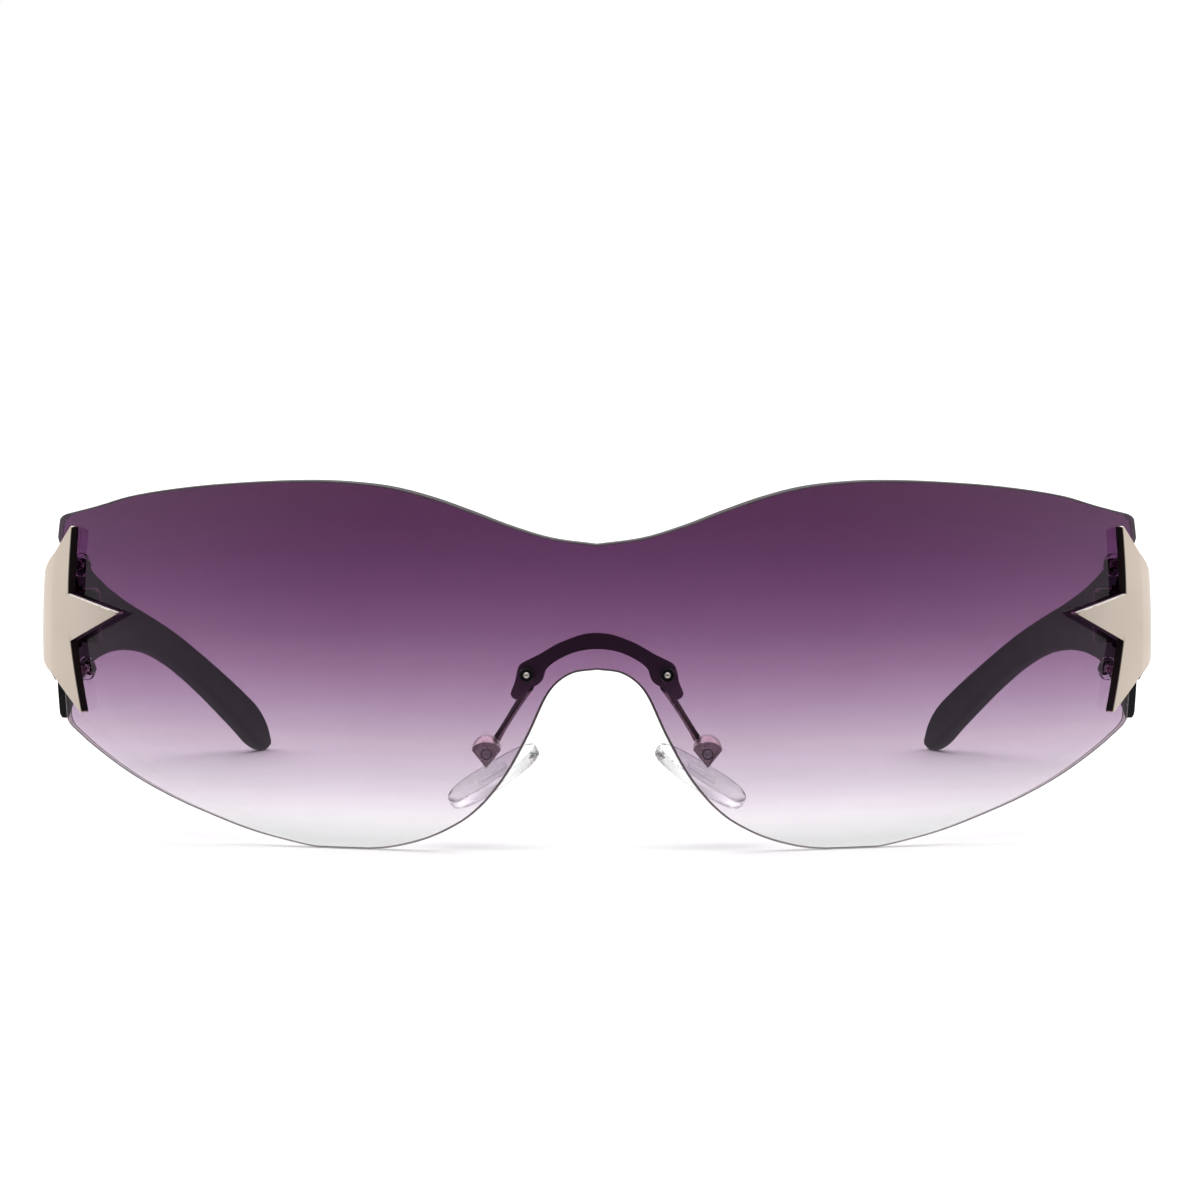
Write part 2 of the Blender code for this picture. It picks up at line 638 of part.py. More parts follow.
def temple_ring(run):
    """One cross-section of a temple: round-cornered, and thinner above and below its hinge."""
    into_cap = max(1 - TEMPLE_LENGTH * (1 - run) / TEMPLE_CAP_LENGTH, 0)
    rounding = math.sqrt(1 - min(into_cap, TEMPLE_CAP_SHARE) ** 2)
    low, high = [smooth_value(s, run) for s in (TEMPLE_BOTTOM_SHARES, TEMPLE_TOP_SHARES)]
    middle, half = (high + low) / 2 * LENS_HEIGHT, (high - low) / 2 * LENS_HEIGHT * rounding
    bottom, top = max(middle - half, 0), middle + half
    depth = TEMPLE_FRONT_DEPTH + run * TEMPLE_LENGTH
    inner = temple_inner_x(run)
    front = min(star_inner_x(depth) - SEAT_GAP - inner, TEMPLE_FRONT_THICKNESS)
    thickness = max(front, TEMPLE_THICKNESS)
    slimming = thickness * TEMPLE_SLIM_SHARE / 2 * (1 - rounding)
    inner, outer = inner + slimming, inner + thickness - slimming
    fade = max(1 - run * TEMPLE_LENGTH / TEMPLE_FLARE_LENGTH, 0)
    radius = min(TEMPLE_EDGE_RADIUS, (top - bottom) / 3)
    relief = TEMPLE_RELIEF * max(1 - run * TEMPLE_LENGTH / TEMPLE_RELIEF_LENGTH, 0)
    ring = []
    for across, height in with_long_sides(rounded_outline((inner, bottom), (outer, top), radius)):
        past_hinge = abs(height - STAR_HEIGHT) - BRACKET_HEIGHT / 2 - NOTCH_MARGIN
        share = min(max(past_hinge / TEMPLE_RELIEF_RISE, 0), 1)
        across += relief * share * (outer - across) / (outer - inner)
        bow = lens_bow(height) * fade
        shift = Vector((-math.sin(LENS_END_ANGLE), math.cos(LENS_END_ANGLE), 0)) * bow
        ring.append(in_frame(Vector((across, depth, height)) + shift))
    return ring


def make_temple(side, pivot, material):
    """The moulded temple, notched for the hinge bracket and bored for the leaf's rivets."""
    half = TEMPLE_STATIONS // 2
    runs = [(step / half) ** 2 / 2 for step in range(half)]
    runs += [1 - (1 - step / half) ** 2 / 2 for step in range(half + 1)]
    body = new_mesh([temple_ring(run) for run in runs])
    bmesh.ops.triangulate(body, faces=body.faces)
    temple = add_piece(f"temple_{SIDE_WORDS[side]}", body, material, side, pivot)
    margin = BRACKET_HEIGHT / 2 + NOTCH_MARGIN
    low = in_frame((TEMPLE_INNER_X - OVERRUN, TEMPLE_FRONT_DEPTH - OVERRUN, STAR_HEIGHT - margin))
    high = in_frame((STAR_INNER_X, TEMPLE_FRONT_DEPTH + NOTCH_LENGTH, STAR_HEIGHT + margin))
    cut(temple, box_mesh(low, high), side)
    for place in RIVET_PLACES:
        base = in_frame((TEMPLE_INNER_X, HINGE_DEPTH + place, STAR_HEIGHT))
        bore = RIVET_RADIUS + SNUG_GAP
        hole = ((bore, -OVERRUN), (bore, RIVET_DEPTH + SNUG_GAP))
        cut(temple, turned(hole, base, Vector((1, 0, 0))), side)


def hinge_arc(start, end):
    """Points on the knuckle's circle from one angle to another, about the hinge's axis."""
    angles = spread(start, end, ROUND_SIDES)
    return [(KNUCKLE_RADIUS * math.cos(turn), KNUCKLE_RADIUS * math.sin(turn)) for turn in angles]


def hinge_prism(outline, half_height):
    axis = in_frame((HINGE_X, HINGE_DEPTH, STAR_HEIGHT))
    points = [(axis.x + u, axis.y + v) for u, v in outline]
    return prism(points, axis.z - half_height, axis.z + half_height)


def hinge_turned(profile, sides=ROUND_SIDES):
    return turned(profile, in_frame((HINGE_X, HINGE_DEPTH, STAR_HEIGHT)), Vector((0, 0, 1)), sides)


def make_hinge(side, pivot, metal, steel):
    """Bracket with two ears on the star, leaf with one knuckle on the temple, and the screw."""
    word = SIDE_WORDS[side]
    half_depth = BRACKET_DEPTH / 2
    face = HINGE_INSET - 2 * SNUG_GAP
    inner = face - LEAF_THICKNESS
    out = star_inner_x(HINGE_DEPTH + half_depth) - SNUG_GAP - HINGE_X
    turn = math.asin(half_depth / KNUCKLE_RADIUS)
    ears = hinge_arc(turn, 2 * math.pi - turn) + [(out, -half_depth), (out, half_depth)]
    bracket = add_piece(f"hinge_bracket_{word}", hinge_prism(ears, BRACKET_HEIGHT / 2), metal, side)
    room = KNUCKLE_HEIGHT / 2 + SNUG_GAP
    reach = math.hypot(face, half_depth) + SEAT_GAP
    cut(bracket, hinge_turned(((reach, -room), (reach, room)), 2 * ROUND_SIDES), side)
    bore = HINGE_SCREW_RADIUS + FINE_GAP
    through = BRACKET_HEIGHT / 2 + OVERRUN
    cut(bracket, hinge_turned(((bore, -through), (bore, through))), side)

    start = math.acos(face / KNUCKLE_RADIUS)
    end = math.acos(inner / KNUCKLE_RADIUS) - 2 * math.pi
    knuckle = hinge_arc(start, end) + [(inner, LEAF_LENGTH), (face, LEAF_LENGTH)]
    leaf = add_piece(
        f"hinge_leaf_{word}", hinge_prism(knuckle, KNUCKLE_HEIGHT / 2), metal, side, pivot
    )
    plate = rectangle((inner, LEAF_START), (face, LEAF_LENGTH))
    join(leaf, hinge_prism(plate, LEAF_HEIGHT / 2), side)
    cut(leaf, hinge_turned(((bore, -through), (bore, through))), side)

    low, top = -BRACKET_HEIGHT / 2, BRACKET_HEIGHT / 2 + FINE_GAP
    screw = (
        (HINGE_SCREW_RADIUS, low), (HINGE_SCREW_RADIUS, top),
        (HINGE_HEAD_RADIUS, top), (HINGE_HEAD_RADIUS, top + HINGE_HEAD_HEIGHT),
    )
    add_piece(f"hinge_screw_{word}", hinge_turned(screw), steel, side)

    for order, place in zip(("front", "rear"), RIVET_PLACES):
        base = in_frame((HINGE_X + inner, HINGE_DEPTH + place, STAR_HEIGHT))
        bore = RIVET_RADIUS + SNUG_GAP
        hole = ((bore, -OVERRUN), (bore, LEAF_THICKNESS + OVERRUN))
        cut(leaf, turned(hole, base, Vector((1, 0, 0))), side)
        end = HINGE_INSET - inner + RIVET_DEPTH
        rivet = (
            (RIVET_HEAD_RADIUS, -FINE_GAP - RIVET_HEAD_HEIGHT), (RIVET_HEAD_RADIUS, -FINE_GAP),
            (RIVET_RADIUS, -FINE_GAP), (RIVET_RADIUS, end),
        )
        body = turned(rivet, base, Vector((1, 0, 0)))
        add_piece(f"leaf_rivet_{order}_{word}", body, steel, side, pivot)


def pad_axes():
    """The nose pad's directions: along it, through it towards its box, and back."""
    along = Vector((-math.cos(PAD_RISE_ANGLE), 0, math.sin(PAD_RISE_ANGLE)))
    up = Vector((math.sin(PAD_RISE_ANGLE), 0, math.cos(PAD_RISE_ANGLE)))
    return along, up, Vector((0, 1, 0))


def pad_box_centre():
    return in_frame((PAD_BOX_SPREAD, PAD_BOX_DEPTH, PAD_BOX_HEIGHT))


def box_prism(outline, half_length):
    """A body over an upright (across, up) outline, centred on the pad box in depth."""
    centre = pad_box_centre()
    body = prism(outline, -half_length, half_length)
    return mapped(body, lambda u, v, w: centre + Vector((u, w, v)))


def dome(radius, rise):
    """An arch over the pad box, as (across, up) points from one side to the other."""
    points = []
    for turn in spread(0, math.pi, ROUND_SIDES):
        points.append((radius * math.cos(turn), PAD_BOX_DOME_RISE + rise * math.sin(turn)))
    return points


def pad_prism(outline, low, high):
    """A body whose (u, v) outline lies along and through the pad, from low to high in depth."""
    along, up, back = pad_axes()
    centre = pad_box_centre()

    def at_box(u, v, w):
        return centre + along * u + up * v + back * w

    return mapped(prism(outline, low, high), at_box)


def pad_frame():
    """The nose pad's own centre and directions: the pads stand wider apart at the back."""
    along, up, back = pad_axes()
    turn = Matrix.Rotation(-PAD_SPLAY_ANGLE, 3, along)
    centre = pad_box_centre() - up * PAD_DROP - along * PAD_SHIFT
    return centre, along, turn @ back, turn @ up


def pad_block(length, width, low, high):
    """A block in the nose pad's own directions."""
    centre, along, wide, thick = pad_frame()
    body = prism(rectangle((-length / 2, -width / 2), (length / 2, width / 2)), low, high)
    return mapped(body, lambda u, v, w: centre + along * u + wide * v + thick * w)


def pad_shape():
    """The nose pad: flat towards its box, upright sides, domed towards the nose."""
    centre, along, wide, thick = pad_frame()
    rings = []
    for level, size in PAD_LEVEL_SHARES:
        ring = []
        for step in range(PAD_AROUND):
            turn = 2 * math.pi * (step + 0.5) / PAD_AROUND
            u, v = [
                math.copysign(abs(wave) ** (2 / PAD_SQUARENESS), wave)
                for wave in (math.cos(turn), math.sin(turn))
            ]
            v *= 1 - PAD_TAPER_SHARE * u
            point = centre + along * (PAD_LENGTH / 2 * size * u) + wide * (PAD_WIDTH / 2 * size * v)
            ring.append(point + thick * (PAD_THICKNESS / 2 * level))
        rings.append(ring)
    return new_mesh(rings)


def make_nose_pad(side, metal, steel, clear, silicone):
    """Box with its screw on the frame; insert and soft pad that rock on the screw."""
    word = SIDE_WORDS[side]
    half_length = PAD_BOX_LENGTH / 2
    centre = pad_box_centre()
    back = Vector((0, 1, 0))
    rings = []
    for depth, rise in (
        (-half_length, PAD_BOX_FACE_RISE), (PAD_BOX_CHAMFER - half_length, PAD_BOX_RADIUS),
        (half_length, PAD_BOX_RADIUS),
    ):
        shield = dome(PAD_BOX_RADIUS, rise) + [(0, -PAD_BOX_POINT_DROP)]
        rings.append([centre + Vector((u, depth, v)) for u, v in shield])
    box = add_piece(f"pad_box_{word}", new_mesh(rings), metal, side)
    slot_half = half_length - PAD_BOX_WALL
    wide, reach = PAD_BOX_RADIUS + OVERRUN, PAD_BOX_POINT_DROP + OVERRUN
    slot = dome(PAD_BOX_RADIUS - PAD_BOX_WALL, PAD_BOX_RADIUS - PAD_BOX_WALL)
    slot += [(-wide, PAD_BOX_DOME_RISE), (-wide, -reach), (wide, -reach), (wide, PAD_BOX_DOME_RISE)]
    cut(box, box_prism(slot, slot_half), side)
    bore = PAD_SCREW_RADIUS + FINE_GAP
    hole = ((bore, -half_length - OVERRUN), (bore, half_length + OVERRUN))
    cut(box, turned(hole, centre, back), side)
    sunk = PAD_SINK_DEPTH - half_length
    sink = ((PAD_SINK_RADIUS, -half_length - OVERRUN), (PAD_SINK_RADIUS, sunk))
    cut(box, turned(sink, centre, back), side)

    face = sunk - FINE_GAP
    screw = (
        (PAD_SCREW_HEAD_RADIUS, face - PAD_SCREW_HEAD_HEIGHT), (PAD_SCREW_HEAD_RADIUS, face),
        (PAD_SCREW_RADIUS, face), (PAD_SCREW_RADIUS, half_length),
    )
    add_piece(f"pad_screw_{word}", turned(screw, centre, back), steel, side)

    pivot = add_pivot(f"pad_axis_{word}", mirrored_x(centre, side))
    tongue_half = slot_half - SNUG_GAP
    foot = PAD_DROP - PAD_THICKNESS / 2 + INSERT_THICKNESS / 2
    eye = []
    for step in range(ROUND_SIDES // 2 + 1):
        turn = math.pi * step / (ROUND_SIDES // 2)
        eye.append((INSERT_EYE_RADIUS * math.cos(turn), INSERT_EYE_RADIUS * math.sin(turn)))
    shift = -PAD_SHIFT
    tongue = eye + [(shift - INSERT_EYE_RADIUS, -foot), (shift + INSERT_EYE_RADIUS, -foot)]
    body = pad_prism(tongue, -tongue_half, tongue_half)
    insert = add_piece(f"pad_insert_{word}", body, clear, side, pivot)
    top = PAD_THICKNESS / 2
    flange_low = top - INSERT_THICKNESS
    join(insert, pad_block(INSERT_LENGTH, INSERT_WIDTH, flange_low, top), side)
    cut(insert, turned(hole, centre, back), side)

    pad = add_piece(f"nose_pad_{word}", pad_shape(), silicone, side, pivot)
    room = 2 * SNUG_GAP
    pocket = pad_block(
        INSERT_LENGTH + room, INSERT_WIDTH + room, flange_low - FINE_GAP, top + OVERRUN
    )
    cut(pad, pocket, side)


def make_pad_arm(side, material):
    """The wire that carries a pad box from the bridge plate."""
    angle = math.asin(BRIDGE_PIN_SPREAD / LENS_RADIUS)
    height = BRIDGE_PIN_HEIGHT - PAD_ARM_ROOT_DROP
    root = in_frame(lens_point(angle, height, -BRIDGE_BACK - SNUG_GAP))
    out = Vector((-math.cos(PAD_ARM_SEAT_ANGLE), 0, math.sin(PAD_ARM_SEAT_ANGLE)))
    seat = pad_box_centre() + Vector((0, 0, PAD_BOX_DOME_RISE)) + out * (PAD_BOX_RADIUS + SNUG_GAP)
    points = []
    for step in range(WIRE_STEPS + 1):
        share = step / WIRE_STEPS
        depth_share = smooth_value(PAD_ARM_DEPTH_SHARES, share)
        point = root.lerp(seat, share)
        point.y = root.y + (seat.y - root.y) * depth_share
        points.append(point)
    rings = []
    for i, point in enumerate(points):
        heading = (points[min(i + 1, WIRE_STEPS)] - points[max(i - 1, 0)]).normalized()
        if i == 0:
            heading = Vector((0, 1, 0))
        if i == WIRE_STEPS:
            heading = -out
        first = Vector((1, 0, 0)).cross(heading).normalized()
        second = heading.cross(first)
        rings.append(circle(point, PAD_ARM_RADIUS, first, second, WIRE_SIDES))
    add_piece(f"pad_arm_{SIDE_WORDS[side]}", new_mesh(rings), material, side)


def main():
    clear_scene()
    lens = make_material("tinted_lens", LENS_COLOUR, 0.05, alpha=0.6)
    nickel = make_material("polished_nickel", NICKEL_COLOUR, 0.12, metallic=1.0)
    charcoal = make_material("charcoal_plastic", CHARCOAL_COLOUR, 0.38)
    gunmetal = make_material("gunmetal", GUNMETAL_COLOUR, 0.30, metallic=0.8)
    black = make_material("black_plastic", BLACK_COLOUR, 0.45)
    steel = make_material("bright_steel", STEEL_COLOUR, 0.22, metallic=1.0)
    silicone = make_material("clear_silicone", SILICONE_COLOUR, 0.25, alpha=0.45)
    clear = make_material("clear_plastic", CLEAR_COLOUR, 0.10, alpha=0.5)

    make_lens(lens)
    make_bridge(gunmetal, steel, black)
    for side in (1, -1):
        hinge = mirrored_x(in_frame((HINGE_X, HINGE_DEPTH, STAR_HEIGHT)), side)
        pivot = add_pivot(f"temple_axis_{SIDE_WORDS[side]}", hinge)
        make_star(side, nickel)
        make_peg_fittings(side, clear, gunmetal)
        make_hinge(side, pivot, gunmetal, steel)
        make_temple(side, pivot, charcoal)
        make_pad_arm(side, gunmetal)
        make_nose_pad(side, gunmetal, steel, clear, silicone)


main()
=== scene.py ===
"""Looks of the rimless wraparound sunglasses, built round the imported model.

Metres, +Z up. The lens faces -Y, the temples reach back along +Y, the wearer's left is +X.
Every sided piece is built for the left and mirrored for the right.
"""

import math

import bmesh
import bpy
from mathutils import Matrix, Vector


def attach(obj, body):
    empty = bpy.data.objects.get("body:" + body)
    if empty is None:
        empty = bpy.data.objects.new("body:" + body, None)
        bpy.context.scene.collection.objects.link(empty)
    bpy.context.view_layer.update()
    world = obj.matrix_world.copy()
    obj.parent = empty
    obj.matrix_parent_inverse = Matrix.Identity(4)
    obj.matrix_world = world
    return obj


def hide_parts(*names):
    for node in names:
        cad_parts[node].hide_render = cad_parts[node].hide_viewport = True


# Lens
LENS_HALF_CHORD = 0.0702
LENS_HEIGHT = 0.0472
LENS_THICKNESS = 0.0020
LENS_RADIUS = 0.1080
LENS_UPRIGHT_RADIUS = 0.0920
LENS_CORNER_RADIUS = 0.0007
LENS_WAIST_SHARE = 0.55
LENS_FLARE = 0.00145
LENS_FLARE_WIDTH = 0.0060
LENS_FLARE_RISE = 0.0022
LENS_FLARE_SHARE = 0.775
LENS_RIM = 0.00027
LENS_RIM_STEEPEST = 2.6
LENS_LINE_SHARES = (0.50, 0.57)

# Bridge pins and bushes
BRIDGE_PIN_SPREAD = 0.0089
BRIDGE_PIN_HEIGHT_SHARE = 0.485
BRIDGE_THICKNESS = 0.0012
BRIDGE_PIN_RADIUS = 0.0004
BRIDGE_PIN_PROUD = 0.00022
BRIDGE_PIN_DOME = 0.00022
BRIDGE_HEAD_RADIUS = 0.0010
BRIDGE_HEAD_HEIGHT = 0.0005
BUSH_RADIUS = 0.00085
BUSH_PROUD = 0.00012

# Nose pads
PAD_BOX_SPREAD = 0.01425
PAD_BOX_HEIGHT = 0.0118
PAD_BOX_DEPTH = 0.0135
PAD_BOX_RADIUS = 0.00185
PAD_BOX_DOME_RISE = 0.0005
PAD_BOX_LENGTH = 0.0026
PAD_SCREW_HEAD_RADIUS = 0.00062
PAD_SCREW_HEAD_HEIGHT = 0.0002
PAD_SINK_DEPTH = 0.00035
PAD_DROP = 0.00325
PAD_SHIFT = 0.0007
PAD_LENGTH = 0.0132
PAD_WIDTH = 0.0070
PAD_THICKNESS = 0.0020
PAD_TAPER_SHARE = 0.12
PAD_RISE_ANGLE = math.radians(32.0)
PAD_SPLAY_ANGLE = math.radians(16.0)
INSERT_LENGTH = 0.0040
INSERT_WIDTH = 0.0026
INSERT_THICKNESS = 0.0006
PAD_ARM_RADIUS = 0.0005
PAD_ARM_ROOT_DROP = 0.00175
PAD_ARM_SEAT_ANGLE = math.radians(46.0)
PAD_ARM_DARK_SHARE = 0.1

# Stars, pegs, washers and nuts
STAR_TIP_RADIUS = 0.01285
STAR_NOTCH_RADIUS = 0.00515
STAR_THICKNESS = 0.00135
STAR_EDGE = 0.00007
STAR_TIP_ROUND = 0.00016
STAR_HEIGHT_SHARE = 0.602
STAR_PAST_BEND = 0.0010
STAR_TILT_ANGLE = math.radians(5.5)
STAR_LEAN_SHARE = 0.075
STAR_LOWER_SHARE = 1.05
# Star walls within the tip-zone share of the tip radius get painted shade; up-facing walls above the
# highlight-level share of the thickness get a painted highlight
STAR_TIP_ZONE_SHARE = 0.9
STAR_HIGHLIGHT_LEVEL_SHARE = 0.55
STAR_WALL_SHARE = 0.5
STAR_TOP_WALL_SHARE = 0.7
STAR_TOE_IN_ANGLE = math.radians(4.0)
STAR_BEND_LEAD = 0.0003
STAR_STRIP = 0.0008
STAR_BEND_STRIP = 0.00025
PEG_REACH = 0.0075
PEG_FORWARD = 0.0005
PEG_RADIUS = 0.00055
PEG_END = 0.0002
WASHER_RADIUS = 0.00155
WASHER_THICKNESS = 0.0004
NUT_RADIUS = 0.0010
NUT_HEIGHT = 0.0006

# Temples and hinges
TEMPLE_LENGTH = 0.1215
TEMPLE_OVERHANG = 0.0011
TEMPLE_FRONT_THICKNESS = 0.0030
TEMPLE_THICKNESS = 0.0024
TEMPLE_FRONT_GAP = 0.0010
TEMPLE_FLARE_LENGTH = 0.0240
TEMPLE_RELIEF = 0.0016
TEMPLE_RELIEF_LENGTH = 0.0140
TEMPLE_RELIEF_RISE = 0.0040
TEMPLE_TIP_INSET = 0.0176
TEMPLE_BEND_SHARE = 0.30
TEMPLE_BEND_POWER = 1.85
TEMPLE_CAP_LENGTH = 0.0070
TEMPLE_CAP_SHARE = 0.98
TEMPLE_SLIM_SHARE = 0.45
TEMPLE_EDGE_RADIUS = 0.0009
TEMPLE_ROUND_SHARE = 1 / 3
TEMPLE_BEVEL = 0.00022
HINGE_INSET = 0.0015
HINGE_SETBACK = 0.0008
BRACKET_HEIGHT = 0.0066
HINGE_HEAD_RADIUS = 0.0011
HINGE_HEAD_HEIGHT = 0.0004
LEAF_THICKNESS = 0.0010
NOTCH_MARGIN = 0.0008
NOTCH_LENGTH = 0.0042
RIVET_RADIUS = 0.0005
RIVET_HEAD_RADIUS = 0.0009
RIVET_HEAD_HEIGHT = 0.0003
RIVET_DEPTH = 0.0016
RIVET_PLACES = (0.0062, 0.0094)
RIVET_CROWN_SHARES = (1 / 3, 0.7, 0.93)

# Clearances, broken edges, screw slots, and the distance at which points are merged
SEAT_GAP = 0.0003
SNUG_GAP = 0.0001
FINE_GAP = 0.00005
OVERRUN = 0.0010
METAL_BREAK = 0.00012
PAD_BOX_BREAK = 0.00020
SMALL_BREAK = 0.00006
SLOT_WIDTH = 0.00018
SLOT_DEPTH = 0.00014
WELD = 0.000001

# Outlines, as pairs of position share and value share
LENS_TOP_SHARES = (
    (0.0, 0.835), (0.085, 0.852), (0.16, 0.884), (0.233, 0.923), (0.308, 0.959),
    (0.383, 0.985), (0.46, 0.997), (0.54, 1.0), (0.65, 0.993), (0.765, 0.977),
    (0.88, 0.948), (0.957, 0.911), (1.0, 0.888),
)
LENS_BOTTOM_SHARES = (
    (0.0, 0.4995), (0.049, 0.486), (0.087, 0.436), (0.124, 0.323), (0.162, 0.222),
    (0.2, 0.148), (0.237, 0.097), (0.274, 0.063), (0.312, 0.037), (0.35, 0.019),
    (0.39, 0.006), (0.43, 0.0), (0.48, -0.003), (0.53, 0.0), (0.58, 0.013),
    (0.655, 0.039), (0.73, 0.077), (0.805, 0.121), (0.88, 0.178), (0.95, 0.249),
    (1.0, 0.312),
)
TEMPLE_TOP_SHARES = (
    (0.0, 0.772), (0.03, 0.772), (0.06, 0.764), (0.1, 0.746), (0.15, 0.722), (0.2, 0.699),
    (0.3, 0.658), (0.4, 0.612), (0.5, 0.56), (0.6, 0.504), (0.7, 0.434), (0.8, 0.342),
    (0.9, 0.232), (1.0, 0.1),
)
TEMPLE_BOTTOM_SHARES = (
    (0.0, 0.32), (0.035, 0.356), (0.07, 0.389), (0.1, 0.412), (0.15, 0.434), (0.2, 0.441),
    (0.3, 0.439), (0.4, 0.434), (0.5, 0.42), (0.6, 0.389), (0.7, 0.325), (0.8, 0.227),
    (0.9, 0.102), (0.96, 0.014), (1.0, -0.05),
)
PAD_LEVEL_SHARES = (
    (1.0, 0.90), (0.94, 0.975), (0.82, 1.0), (0.3, 1.01), (-0.1, 0.995), (-0.42, 0.92), (-0.66, 0.79),
    (-0.84, 0.61), (-0.95, 0.40), (-1.0, 0.18),
)
PIN_END_SHARES = (
    (1.0, 1.0), (0.985, 0.78), (0.94, 0.55), (0.87, 0.33), (0.77, 0.14), (0.66, 0.03), (0.56, 0.0),
    (0.47, 0.1), (0.39, 0.45), (0.31, 0.9), (0.2, 1.15), (0.08, 1.25),
)
PAD_ARM_DEPTH_SHARES = ((0.0, 0.0), (0.25, 0.32), (0.5, 0.62), (0.75, 0.86), (1.0, 1.0))
PAD_ARM_WIDTH_SHARES = ((0.0, 1.25), (0.2, 1.05), (0.6, 0.9), (0.9, 0.95), (1.0, 1.1))

# Counts, most of them for the fineness of the meshes
NOTCH_COLUMNS = 48
SIDE_COLUMNS = 80
CORNER_COLUMNS = 8
LENS_ROWS = 40
RIM_STEPS = 3
TEMPLE_STATIONS = 110
TEMPLE_SIDE_STEPS = 14
CORNER_POINTS = 8
ROUND_SIDES = 40
WIRE_SIDES = 24
WIRE_STEPS = 36
PAD_AROUND = 72
NUT_SIDES = 6
STAR_ARMS = 5
TIP_STEPS = 4
STAR_RISES = 16
BREAK_STEPS = 2

# Zones, roundness and angles
NOTCH_ZONE_SHARE = 0.27
PAD_SQUARENESS = 2.8
BREAK_PROFILE = 0.5
SHARP_ANGLE = math.radians(38.0)
BREAK_ANGLE = math.radians(40.0)
TEMPLE_BREAK_ANGLE = math.radians(60.0)
QUARTER_TURN = math.radians(90.0)

# Order of the materials on the lens, the stars, the pad arms and the pad boxes; the star's wall surfaces
# and the shaded faces are painted shade and painted highlight
TINT_FACE, RIM_FACE, CUT_FACE = 0, 1, 2
STAR_FACE, STAR_PAINTED_SHADE_WALL, STAR_PAINTED_HIGHLIGHT_WALL = 0, 1, 2
PLAIN_FACE, SHADED_FACE = 0, 1

# Places that follow from the sizes
LENS_WAIST = LENS_WAIST_SHARE * LENS_HEIGHT
LENS_END_ANGLE = math.asin(LENS_HALF_CHORD / LENS_RADIUS)
LENS_LINE_DEPTHS = [share * LENS_THICKNESS for share in LENS_LINE_SHARES]
LENS_END_DEPTH = LENS_RADIUS - (LENS_RADIUS - LENS_THICKNESS) * math.cos(LENS_END_ANGLE)
TEMPLE_FRONT_DEPTH = LENS_END_DEPTH + TEMPLE_FRONT_GAP
OVERALL_DEPTH = TEMPLE_FRONT_DEPTH + TEMPLE_LENGTH
TEMPLE_OUTER_X = LENS_HALF_CHORD + TEMPLE_OVERHANG
TEMPLE_INNER_X = TEMPLE_OUTER_X - TEMPLE_FRONT_THICKNESS
STAR_INNER_X = TEMPLE_OUTER_X + SEAT_GAP
STAR_HEIGHT = STAR_HEIGHT_SHARE * LENS_HEIGHT
HINGE_X = TEMPLE_INNER_X - HINGE_INSET
HINGE_DEPTH = TEMPLE_FRONT_DEPTH + HINGE_SETBACK
BRIDGE_PIN_HEIGHT = BRIDGE_PIN_HEIGHT_SHARE * LENS_HEIGHT
BRIDGE_BACK = LENS_THICKNESS + SNUG_GAP + BRIDGE_THICKNESS
STAR_PATH_RADIUS = LENS_RADIUS + SEAT_GAP
BEND_START_ANGLE = LENS_END_ANGLE + STAR_BEND_LEAD / STAR_PATH_RADIUS
BEND_END_ANGLE = QUARTER_TURN + STAR_TOE_IN_ANGLE
BEND_START_X = STAR_PATH_RADIUS * math.sin(BEND_START_ANGLE)
BEND_RADIUS = (STAR_INNER_X - BEND_START_X) / (1 - math.sin(BEND_START_ANGLE))
BEND_X = BEND_START_X - BEND_RADIUS * math.sin(BEND_START_ANGLE)
BEND_DEPTH = (
    LENS_RADIUS - STAR_PATH_RADIUS * math.cos(BEND_START_ANGLE)
    + BEND_RADIUS * math.cos(BEND_START_ANGLE)
)
BEND_ARC = BEND_RADIUS * (BEND_END_ANGLE - BEND_START_ANGLE)

# Camera, as in the photograph
CAMERA_DISTANCE = 0.620
CAMERA_HEIGHT = 0.0698
CAMERA_ASIDE = 0.00038
CAMERA_PITCH = math.radians(3.45)
CAMERA_LENS_MM = 148.0
FILM_WIDTH_MM = 36.0
CAMERA_NEAR = 0.01

# Studio
FLOOR_HALF = 4.0
FLOOR_DROP = 0.00002
WHITE = (1.0, 1.0, 1.0, 1.0)
FRONT_LIGHT = 0.14
TOP_LIGHT = 1.6
FLOOR_LIGHT = 0.6
FRONT_FADE = (-0.05, 0.80)
TOP_FADE = (0.55, 0.80)
FLOOR_FADE = (-0.55, -0.80)

# Patterns in the surfaces: sizes, then shares, roughnesses and strengths
CLOUD_SIZE = 0.012
SMUDGE_SIZE = 0.004
SCRATCH_GRAIN = 0.00025
MOULD_GRAIN = 0.00035
SOFT_GRAIN = 0.0012
RIM_GRAIN = 0.0006
PAPER_GRAIN = 0.0015
GRAIN_RELIEF = 0.000004
LENS_RIPPLE = 0.02
DYE_DRIFT = 0.0002
CLOUD_DETAIL, GRAIN_DETAIL, SMUDGE_DETAIL = 2, 3, 4
NOISE_SHARES = (0.3, 0.7)
CLOUD_SHARES = (0.35, 0.65)
GRAIN_ROUGHNESS = 0.02
EVEN = (1, 1, 1)
LENS_ROUGHNESS = (0.015, 0.045)
LENS_RIPPLE_STRENGTH = 0.02
LENS_GLOSS_SHARE = 0.04
LENS_GLANCE_POWER = 5.0
RIM_ROUGHNESS = (0.16, 0.30)
RIM_STRENGTH = 0.08
SAWN_ROUGHNESS = (0.35, 0.55)
SAWN_STRENGTH = 0.5
SAWN_STRETCH = (1, 1, 0.2)
SAWN_HAZE_SHARES = (0.20, 0.32)

